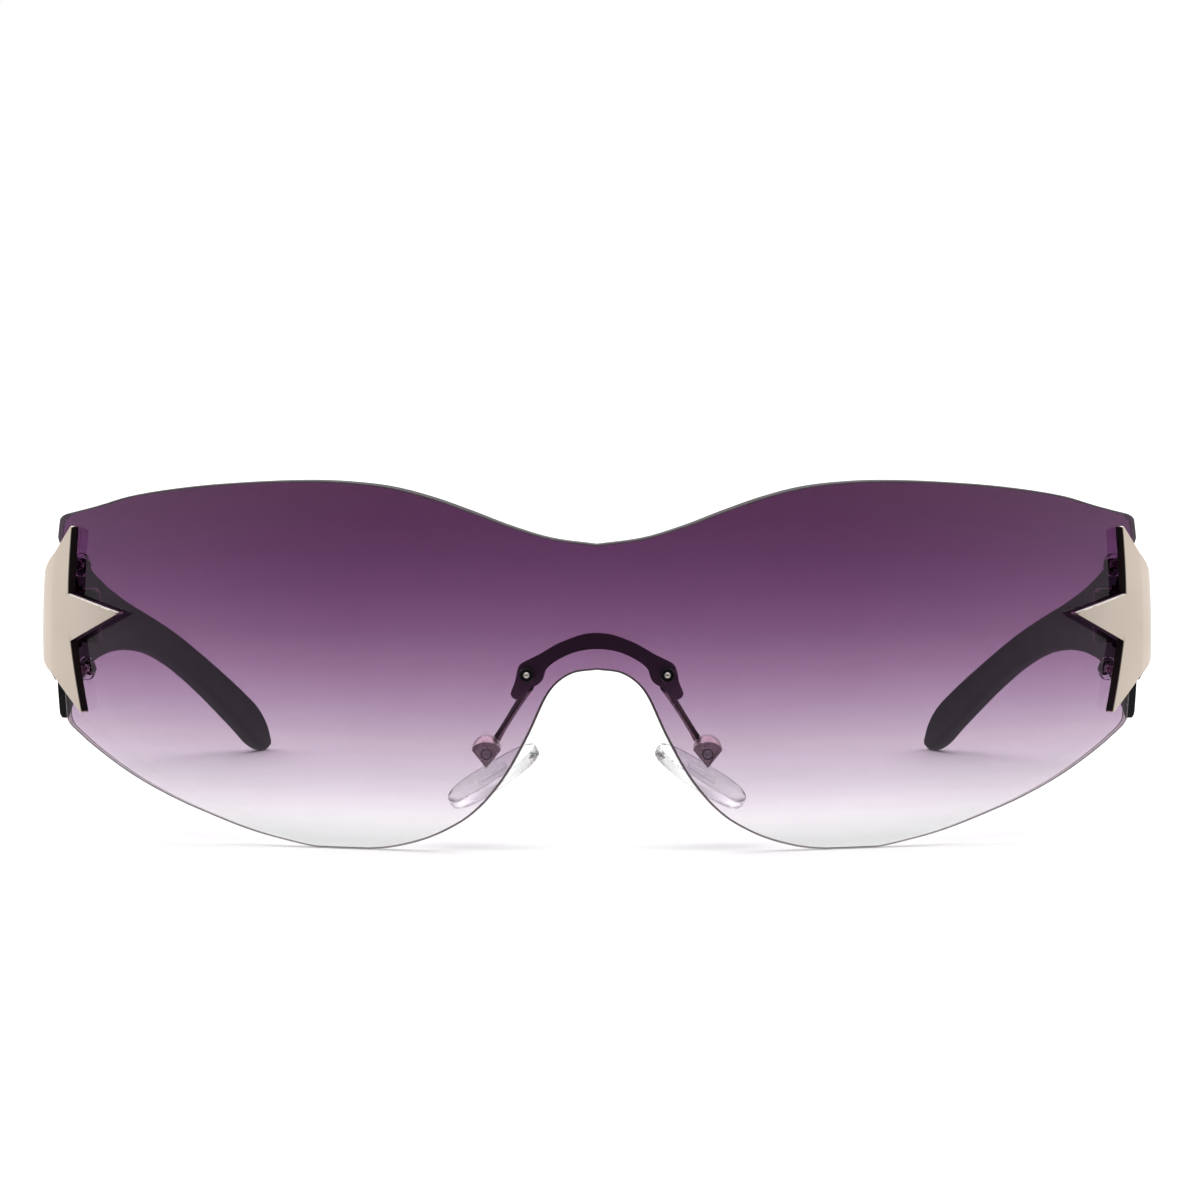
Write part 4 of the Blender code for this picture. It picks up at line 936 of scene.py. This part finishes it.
def make_temple(side):
    """The moulded temple with its edges softened."""
    half = TEMPLE_STATIONS // 2
    runs = [(step / half) ** 2 / 2 for step in range(half)]
    runs += [1 - (1 - step / half) ** 2 / 2 for step in range(half + 1)]
    node = f"temple_{SIDE_WORDS[side]}"
    bm = mirrored(new_mesh([temple_ring(run) for run in runs]), side)
    bmesh.ops.triangulate(bm, faces=bm.faces)
    piece = stand_in(node, bm)
    margin = BRACKET_HEIGHT / 2 + NOTCH_MARGIN
    low = in_frame((TEMPLE_INNER_X - OVERRUN, TEMPLE_FRONT_DEPTH - OVERRUN, STAR_HEIGHT - margin))
    high = in_frame((STAR_INNER_X, TEMPLE_FRONT_DEPTH + NOTCH_LENGTH, STAR_HEIGHT + margin))
    cutters = [mirrored(box_mesh(low, high), side)]
    for place in RIVET_PLACES:
        base = in_frame((TEMPLE_INNER_X, HINGE_DEPTH + place, STAR_HEIGHT))
        bore = RIVET_RADIUS + SNUG_GAP
        hole = ((bore, -OVERRUN), (bore, RIVET_DEPTH + SNUG_GAP))
        cutters.append(mirrored(turned(hole, base, ACROSS), side))
    carve(piece, cutters)
    break_edges(piece, TEMPLE_BEVEL, TEMPLE_BREAK_ANGLE)
    finished(piece, node, node, "charcoal_plastic")


def make_hinge(side):
    """Bracket, leaf, slotted screw and domed rivets."""
    word = SIDE_WORDS[side]
    refined(f"hinge_bracket_{word}", METAL_BREAK, "front", "gunmetal")
    refined(f"hinge_leaf_{word}", METAL_BREAK, f"temple_{word}", "gunmetal")
    axis = in_frame((HINGE_X, HINGE_DEPTH, STAR_HEIGHT))
    top = axis.z + BRACKET_HEIGHT / 2 + FINE_GAP + HINGE_HEAD_HEIGHT
    low = (axis.x - HINGE_HEAD_RADIUS - OVERRUN, axis.y - SLOT_WIDTH, top - SLOT_DEPTH)
    high = (axis.x + HINGE_HEAD_RADIUS + OVERRUN, axis.y + SLOT_WIDTH, top + OVERRUN)
    slot = mirrored(box_mesh(low, high), side)
    refined(f"hinge_screw_{word}", SMALL_BREAK, "front", "bright_steel", cutters=[slot])
    inner = HINGE_INSET - 2 * SNUG_GAP - LEAF_THICKNESS
    for order, place in zip(("front", "rear"), RIVET_PLACES):
        base = in_frame((HINGE_X + inner, HINGE_DEPTH + place, STAR_HEIGHT))
        end = HINGE_INSET - inner + RIVET_DEPTH
        head = -FINE_GAP - RIVET_HEAD_HEIGHT
        crown, shoulder, flank = [share * RIVET_HEAD_RADIUS for share in RIVET_CROWN_SHARES]
        rivet = (
            (crown, head), (shoulder, head + SMALL_BREAK), (flank, head + RIVET_HEAD_HEIGHT / 2),
            (RIVET_HEAD_RADIUS, -FINE_GAP), (RIVET_RADIUS, -FINE_GAP), (RIVET_RADIUS, end),
        )
        node = f"leaf_rivet_{order}_{word}"
        finished(stand_in(node, turned(rivet, base, ACROSS), side), node, f"temple_{word}", "bright_steel")


def pad_axes():
    """The nose pad's directions: along it, through it towards its box, and back."""
    along = Vector((-math.cos(PAD_RISE_ANGLE), 0, math.sin(PAD_RISE_ANGLE)))
    up = Vector((math.sin(PAD_RISE_ANGLE), 0, math.cos(PAD_RISE_ANGLE)))
    return along, up, BACK


def pad_box_centre():
    return in_frame((PAD_BOX_SPREAD, PAD_BOX_DEPTH, PAD_BOX_HEIGHT))


def pad_frame():
    """The nose pad's own centre and directions: the pads stand wider apart at the back."""
    along, up, back = pad_axes()
    turn = Matrix.Rotation(-PAD_SPLAY_ANGLE, 3, along)
    centre = pad_box_centre() - up * PAD_DROP - along * PAD_SHIFT
    return centre, along, turn @ back, turn @ up


def pad_block(length, width, low, high):
    """A block in the nose pad's own directions."""
    centre, along, wide, thick = pad_frame()
    body = prism(rectangle((-length / 2, -width / 2), (length / 2, width / 2)), low, high)
    return mapped(body, lambda u, v, w: centre + along * u + wide * v + thick * w)


def pad_shape():
    """The nose pad: flat towards its box, upright sides, domed towards the nose."""
    centre, along, wide, thick = pad_frame()
    rings = []
    for level, size in PAD_LEVEL_SHARES:
        ring = []
        for step in range(PAD_AROUND):
            turn = 2 * math.pi * (step + 0.5) / PAD_AROUND
            u, v = [
                math.copysign(abs(wave) ** (2 / PAD_SQUARENESS), wave)
                for wave in (math.cos(turn), math.sin(turn))
            ]
            v *= 1 - PAD_TAPER_SHARE * u
            point = centre + along * (PAD_LENGTH / 2 * size * u) + wide * (PAD_WIDTH / 2 * size * v)
            ring.append(point + thick * (PAD_THICKNESS / 2 * level))
        rings.append(ring)
    return new_mesh(rings)


def make_nose_pad(side):
    """The metal box with its slotted screw, the clear insert and the soft pad; painted shade goes on the
    box's and screw's broken edges and round the screw.
    """
    word = SIDE_WORDS[side]
    # The box's broken edges get painted shade
    box = refined(
        f"pad_box_{word}", PAD_BOX_BREAK, "front", "gunmetal", "pad_box_metal", "pad_box_painted_shade",
    )
    centre = pad_box_centre()
    # Faces round the screw's recess get painted shade
    for polygon in box.data.polygons:
        from_screw = math.hypot(polygon.center.x - side * centre.x, polygon.center.z - centre.z)
        if from_screw < PAD_SCREW_HEAD_RADIUS + 2 * SNUG_GAP:
            polygon.material_index = SHADED_FACE
    face = centre.y - PAD_BOX_LENGTH / 2 + PAD_SINK_DEPTH - FINE_GAP - PAD_SCREW_HEAD_HEIGHT
    reach = PAD_SCREW_HEAD_RADIUS + OVERRUN
    low = (centre.x - reach, face - OVERRUN, centre.z - SLOT_WIDTH / 2)
    high = (centre.x + reach, face + SLOT_DEPTH, centre.z + SLOT_WIDTH / 2)
    slot = mirrored(box_mesh(low, high), side)
    # The screw's broken edges get the same painted shade
    refined(
        f"pad_screw_{word}", METAL_BREAK, "front", "bright_steel", "pad_screw_metal", "pad_box_painted_shade",
        cutters=[slot],
    )
    body = f"nose_pad_{word}"
    refined(f"pad_insert_{word}", SMALL_BREAK, body, "clear_plastic", "clear_insert")
    pad = stand_in(body, pad_shape(), side)
    top = PAD_THICKNESS / 2
    room = 2 * SNUG_GAP
    pocket = pad_block(
        INSERT_LENGTH + room, INSERT_WIDTH + room, top - INSERT_THICKNESS - FINE_GAP, top + OVERRUN
    )
    carve(pad, [mirrored(pocket, side)])
    finished(pad, body, body, "clear_silicone")


def make_pad_arm(side):
    """The wire from the bridge plate to a pad box, stouter at both ends, with painted shade on its
    outside.
    """
    angle = math.asin(BRIDGE_PIN_SPREAD / LENS_RADIUS)
    height = BRIDGE_PIN_HEIGHT - PAD_ARM_ROOT_DROP
    root = in_frame(lens_point(angle, height, -BRIDGE_BACK - SNUG_GAP))
    out = Vector((-math.cos(PAD_ARM_SEAT_ANGLE), 0, math.sin(PAD_ARM_SEAT_ANGLE)))
    seat = pad_box_centre() + Vector((0, 0, PAD_BOX_DOME_RISE)) + out * (PAD_BOX_RADIUS + SNUG_GAP)
    points = []
    for share in spread(0, 1, WIRE_STEPS):
        depth_share = smooth_value(PAD_ARM_DEPTH_SHARES, share)
        point = root.lerp(seat, share)
        point.y = root.y + (seat.y - root.y) * depth_share
        points.append(point)
    rings = []
    for i, point in enumerate(points):
        heading = (points[min(i + 1, WIRE_STEPS)] - points[max(i - 1, 0)]).normalized()
        if i == 0:
            heading = BACK
        if i == WIRE_STEPS:
            heading = -out
        first = ACROSS.cross(heading).normalized()
        second = heading.cross(first)
        radius = PAD_ARM_RADIUS * smooth_value(PAD_ARM_WIDTH_SHARES, i / WIRE_STEPS)
        rings.append(circle(point, radius, first, second, WIRE_SIDES))
    wire = new_mesh(rings)
    # Faces turned outwards get painted shade, the darker copy of the arm's metal
    for face in wire.faces:
        face.material_index = SHADED_FACE if face.normal.x > PAD_ARM_DARK_SHARE else PLAIN_FACE
    node = f"pad_arm_{SIDE_WORDS[side]}"
    piece = stand_in(node, wire, side)
    finished(piece, node, "front", "gunmetal", "pad_arm_metal", "pad_arm_shaded_metal")


def set_input(tree, socket, value):
    """Link an input to another node, or give it a plain value."""
    if isinstance(value, bpy.types.NodeSocket):
        tree.links.new(value, socket)
    else:
        socket.default_value = value


def feed(tree, node, **values):
    """Set a node's inputs by name; underscores stand for spaces."""
    for name, value in values.items():
        set_input(tree, node.inputs[name.replace("_", " ")], value)


def add_node(tree, kind, **values):
    node = tree.nodes.new(f"ShaderNode{kind}")
    feed(tree, node, **values)
    return node


def noise(tree, place, size, stretch=EVEN, detail=CLOUD_DETAIL):
    """A noise pattern with features of a size, drawn out along the axes with a small share."""
    spaced = add_node(tree, "Mapping", Vector=place, Scale=stretch).outputs["Vector"]
    return add_node(tree, "TexNoise", Vector=spaced, Scale=1 / size, Detail=detail).outputs["Fac"]


def between(tree, source, low, high, start=NOISE_SHARES[0], end=NOISE_SHARES[1]):
    """Turn a pattern's values from start to end into values from low to high."""
    ends = dict(From_Min=start, From_Max=end, To_Min=low, To_Max=high)
    return add_node(tree, "MapRange", Value=source, **ends).outputs["Result"]


def math_node(tree, operation, first, second):
    node = tree.nodes.new("ShaderNodeMath")
    node.operation = operation
    for socket, value in zip(node.inputs, (first, second)):
        set_input(tree, socket, value)
    return node.outputs["Value"]


def ramp(tree, source, stops):
    """Colour a pattern by (position, colour) stops."""
    stops = list(stops)
    node = add_node(tree, "ValToRGB", Fac=source)
    elements = node.color_ramp.elements
    while len(elements) < len(stops):
        elements.new(1.0)
    for element, (position, colour) in zip(elements, stops):
        element.position = position
        element.color = (*colour, 1.0)
    return node.outputs["Color"]


def bumped(tree, pattern, depth, strength):
    return add_node(tree, "Bump", Height=pattern, Strength=strength, Distance=depth).outputs["Normal"]


def blend(tree, share, first, second, output):
    """Show a share of the second shader over the first."""
    mix = add_node(tree, "MixShader")
    for source, socket in zip((share, first, second), mix.inputs):
        set_input(tree, socket, source)
    feed(tree, tree.nodes[output], Surface=mix.outputs["Shader"])


def new_material(name):
    material = bpy.data.materials.new(name)
    material.use_nodes = True
    tree = material.node_tree
    place = add_node(tree, "TexCoord").outputs["Object"]
    return material, tree, tree.nodes["Principled BSDF"], place


def finish(
    name, low, high, roughness, strength, grain=SCRATCH_GRAIN, relief=GRAIN_RELIEF, stretch=EVEN, **own
):
    """A surface clouded between two colours, with uneven gloss and a fine grain."""
    material, tree, shader, place = new_material(name)
    cloud = noise(tree, place, CLOUD_SIZE)
    smudge = noise(tree, place, SMUDGE_SIZE, detail=SMUDGE_DETAIL)
    fine = noise(tree, place, grain, stretch, GRAIN_DETAIL)
    rough = math_node(
        tree, "ADD", between(tree, smudge, *roughness),
        between(tree, fine, -GRAIN_ROUGHNESS, GRAIN_ROUGHNESS),
    )
    colour = ramp(tree, cloud, zip(CLOUD_SHARES, (low, high)))
    normal = bumped(tree, fine, relief, strength)
    feed(tree, shader, Base_Color=colour, Roughness=rough, Normal=normal, **own)
    return material


def dye(tree, place, stops):
    """Colour by (share of the lens's height, colour) stops, slightly uneven as a dye is."""
    height = add_node(tree, "SeparateXYZ", Vector=place).outputs["Z"]
    drift = between(tree, noise(tree, place, CLOUD_SIZE), -DYE_DRIFT, DYE_DRIFT)
    share = between(tree, math_node(tree, "ADD", height, drift), 0, 1, 0, LENS_HEIGHT)
    return ramp(tree, share, stops)


def tinted_lens():
    """Clear plastic dyed violet from the top down, with a thin glossy skin."""
    material, tree, shader, place = new_material("tinted_lens")
    tree.nodes.remove(shader)
    stops = [(share, [math.sqrt(value) for value in tint]) for share, tint in LENS_TINTS]
    dyed = add_node(tree, "BsdfTransparent", Color=dye(tree, place, stops))
    haze = between(tree, noise(tree, place, SMUDGE_SIZE, detail=SMUDGE_DETAIL), *LENS_ROUGHNESS)
    ripple = bumped(tree, noise(tree, place, LENS_RIPPLE), FINE_GAP, LENS_RIPPLE_STRENGTH)
    skin = add_node(tree, "BsdfAnisotropic", Roughness=haze, Normal=ripple)
    facing = add_node(tree, "LayerWeight").outputs["Facing"]
    glance = math_node(tree, "POWER", facing, LENS_GLANCE_POWER)
    gloss = math_node(tree, "MULTIPLY_ADD", glance, 1 - LENS_GLOSS_SHARE)
    gloss.node.inputs[2].default_value = LENS_GLOSS_SHARE
    blend(tree, gloss, dyed.outputs["BSDF"], skin.outputs["BSDF"], "Material Output")
    return material


def lens_rim():
    """The lens's cut edge: painted shade, in place of the dark that refraction gives a polished edge, and
    darker towards the top with the dye.
    """
    material, tree, shader, place = new_material("lens_rim")
    buffing = noise(tree, place, RIM_GRAIN, detail=GRAIN_DETAIL)
    feed(
        tree, shader, Base_Color=dye(tree, place, RIM_COLOURS),
        Roughness=between(tree, buffing, *RIM_ROUGHNESS),
        Normal=bumped(tree, buffing, FINE_GAP, RIM_STRENGTH),
    )
    return material


def lens_edge_face():
    """The middle of the lens's cut edge: sawn plastic that lets some light through."""
    material, tree, shader, place = new_material("lens_edge_face")
    sawn = noise(tree, place, RIM_GRAIN, SAWN_STRETCH, GRAIN_DETAIL)
    through = add_node(tree, "BsdfTransparent", Color=dye(tree, place, EDGE_TINTS))
    feed(
        tree, shader, Base_Color=(*EDGE_HAZE, 1.0), Roughness=between(tree, sawn, *SAWN_ROUGHNESS),
        Normal=bumped(tree, sawn, GRAIN_RELIEF, SAWN_STRENGTH),
    )
    haze = between(tree, sawn, *SAWN_HAZE_SHARES)
    blend(tree, haze, through.outputs["BSDF"], shader.outputs["BSDF"], "Material Output")
    return material


def make_floor():
    """A plain white table top under the object, matt and left out of reflections."""
    outline = rectangle((-FLOOR_HALF, -FLOOR_HALF), (FLOOR_HALF, FLOOR_HALF))
    bm = bmesh.new()
    bm.faces.new([bm.verts.new((x, y, 0)) for x, y in outline])
    floor = new_object("floor", bm)
    floor.location.z = -FLOOR_DROP
    floor.visible_glossy = False
    floor.data.materials.append(surfaces["white_paper"])


def make_light():
    """White to the camera; dim in front of the object, bright beside, above and below it."""
    world = bpy.data.worlds.new("studio")
    bpy.context.scene.world = world
    world.use_nodes = True
    tree = world.node_tree
    direction = add_node(tree, "TexCoord").outputs["Generated"]
    parts = add_node(tree, "SeparateXYZ", Vector=direction)
    ahead = math_node(tree, "MULTIPLY", parts.outputs["Y"], -1.0)
    strength = between(tree, ahead, 1, FRONT_LIGHT, *FRONT_FADE)
    for light, (start, end) in ((TOP_LIGHT, TOP_FADE), (FLOOR_LIGHT, FLOOR_FADE)):
        added = between(tree, parts.outputs["Z"], 0, light, start, end)
        added.node.interpolation_type = "SMOOTHSTEP"
        strength = math_node(tree, "ADD", strength, added)
    studio = add_node(tree, "Background", Color=WHITE, Strength=strength)
    backdrop = add_node(tree, "Background", Color=WHITE, Strength=1.0)
    seen = add_node(tree, "LightPath").outputs["Is Camera Ray"]
    blend(tree, seen, studio.outputs["Background"], backdrop.outputs["Background"], "World Output")


def make_camera():
    """Stand the camera where the photograph was taken from."""
    data = bpy.data.cameras.new("camera")
    data.lens = CAMERA_LENS_MM
    data.sensor_width = FILM_WIDTH_MM
    data.clip_start = CAMERA_NEAR
    camera = bpy.data.objects.new("camera", data)
    camera.location = (CAMERA_ASIDE, -OVERALL_DEPTH / 2 - CAMERA_DISTANCE, CAMERA_HEIGHT)
    camera.rotation_euler = (QUARTER_TURN - CAMERA_PITCH, 0, 0)
    bpy.context.scene.collection.objects.link(camera)
    bpy.context.scene.camera = camera


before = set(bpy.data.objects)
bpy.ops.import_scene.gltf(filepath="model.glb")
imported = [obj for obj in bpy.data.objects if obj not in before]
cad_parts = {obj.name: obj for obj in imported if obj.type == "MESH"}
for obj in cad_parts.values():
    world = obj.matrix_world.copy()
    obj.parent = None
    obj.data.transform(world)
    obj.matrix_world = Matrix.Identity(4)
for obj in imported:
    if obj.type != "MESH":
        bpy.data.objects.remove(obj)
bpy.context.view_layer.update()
surfaces = {name: finish(name, *values, **others) for name, (*values, others) in FINISHES.items()}
surfaces |= {"tinted_lens": tinted_lens(), "lens_rim": lens_rim(), "lens_edge_face": lens_edge_face()}
make_camera()
make_light()
make_floor()
make_lens()
make_bridge()
for side in (1, -1):
    for make in (make_star, make_peg_fittings, make_temple, make_hinge, make_nose_pad, make_pad_arm):
        make(side)

bpy.context.scene.view_settings.view_transform = "Standard"
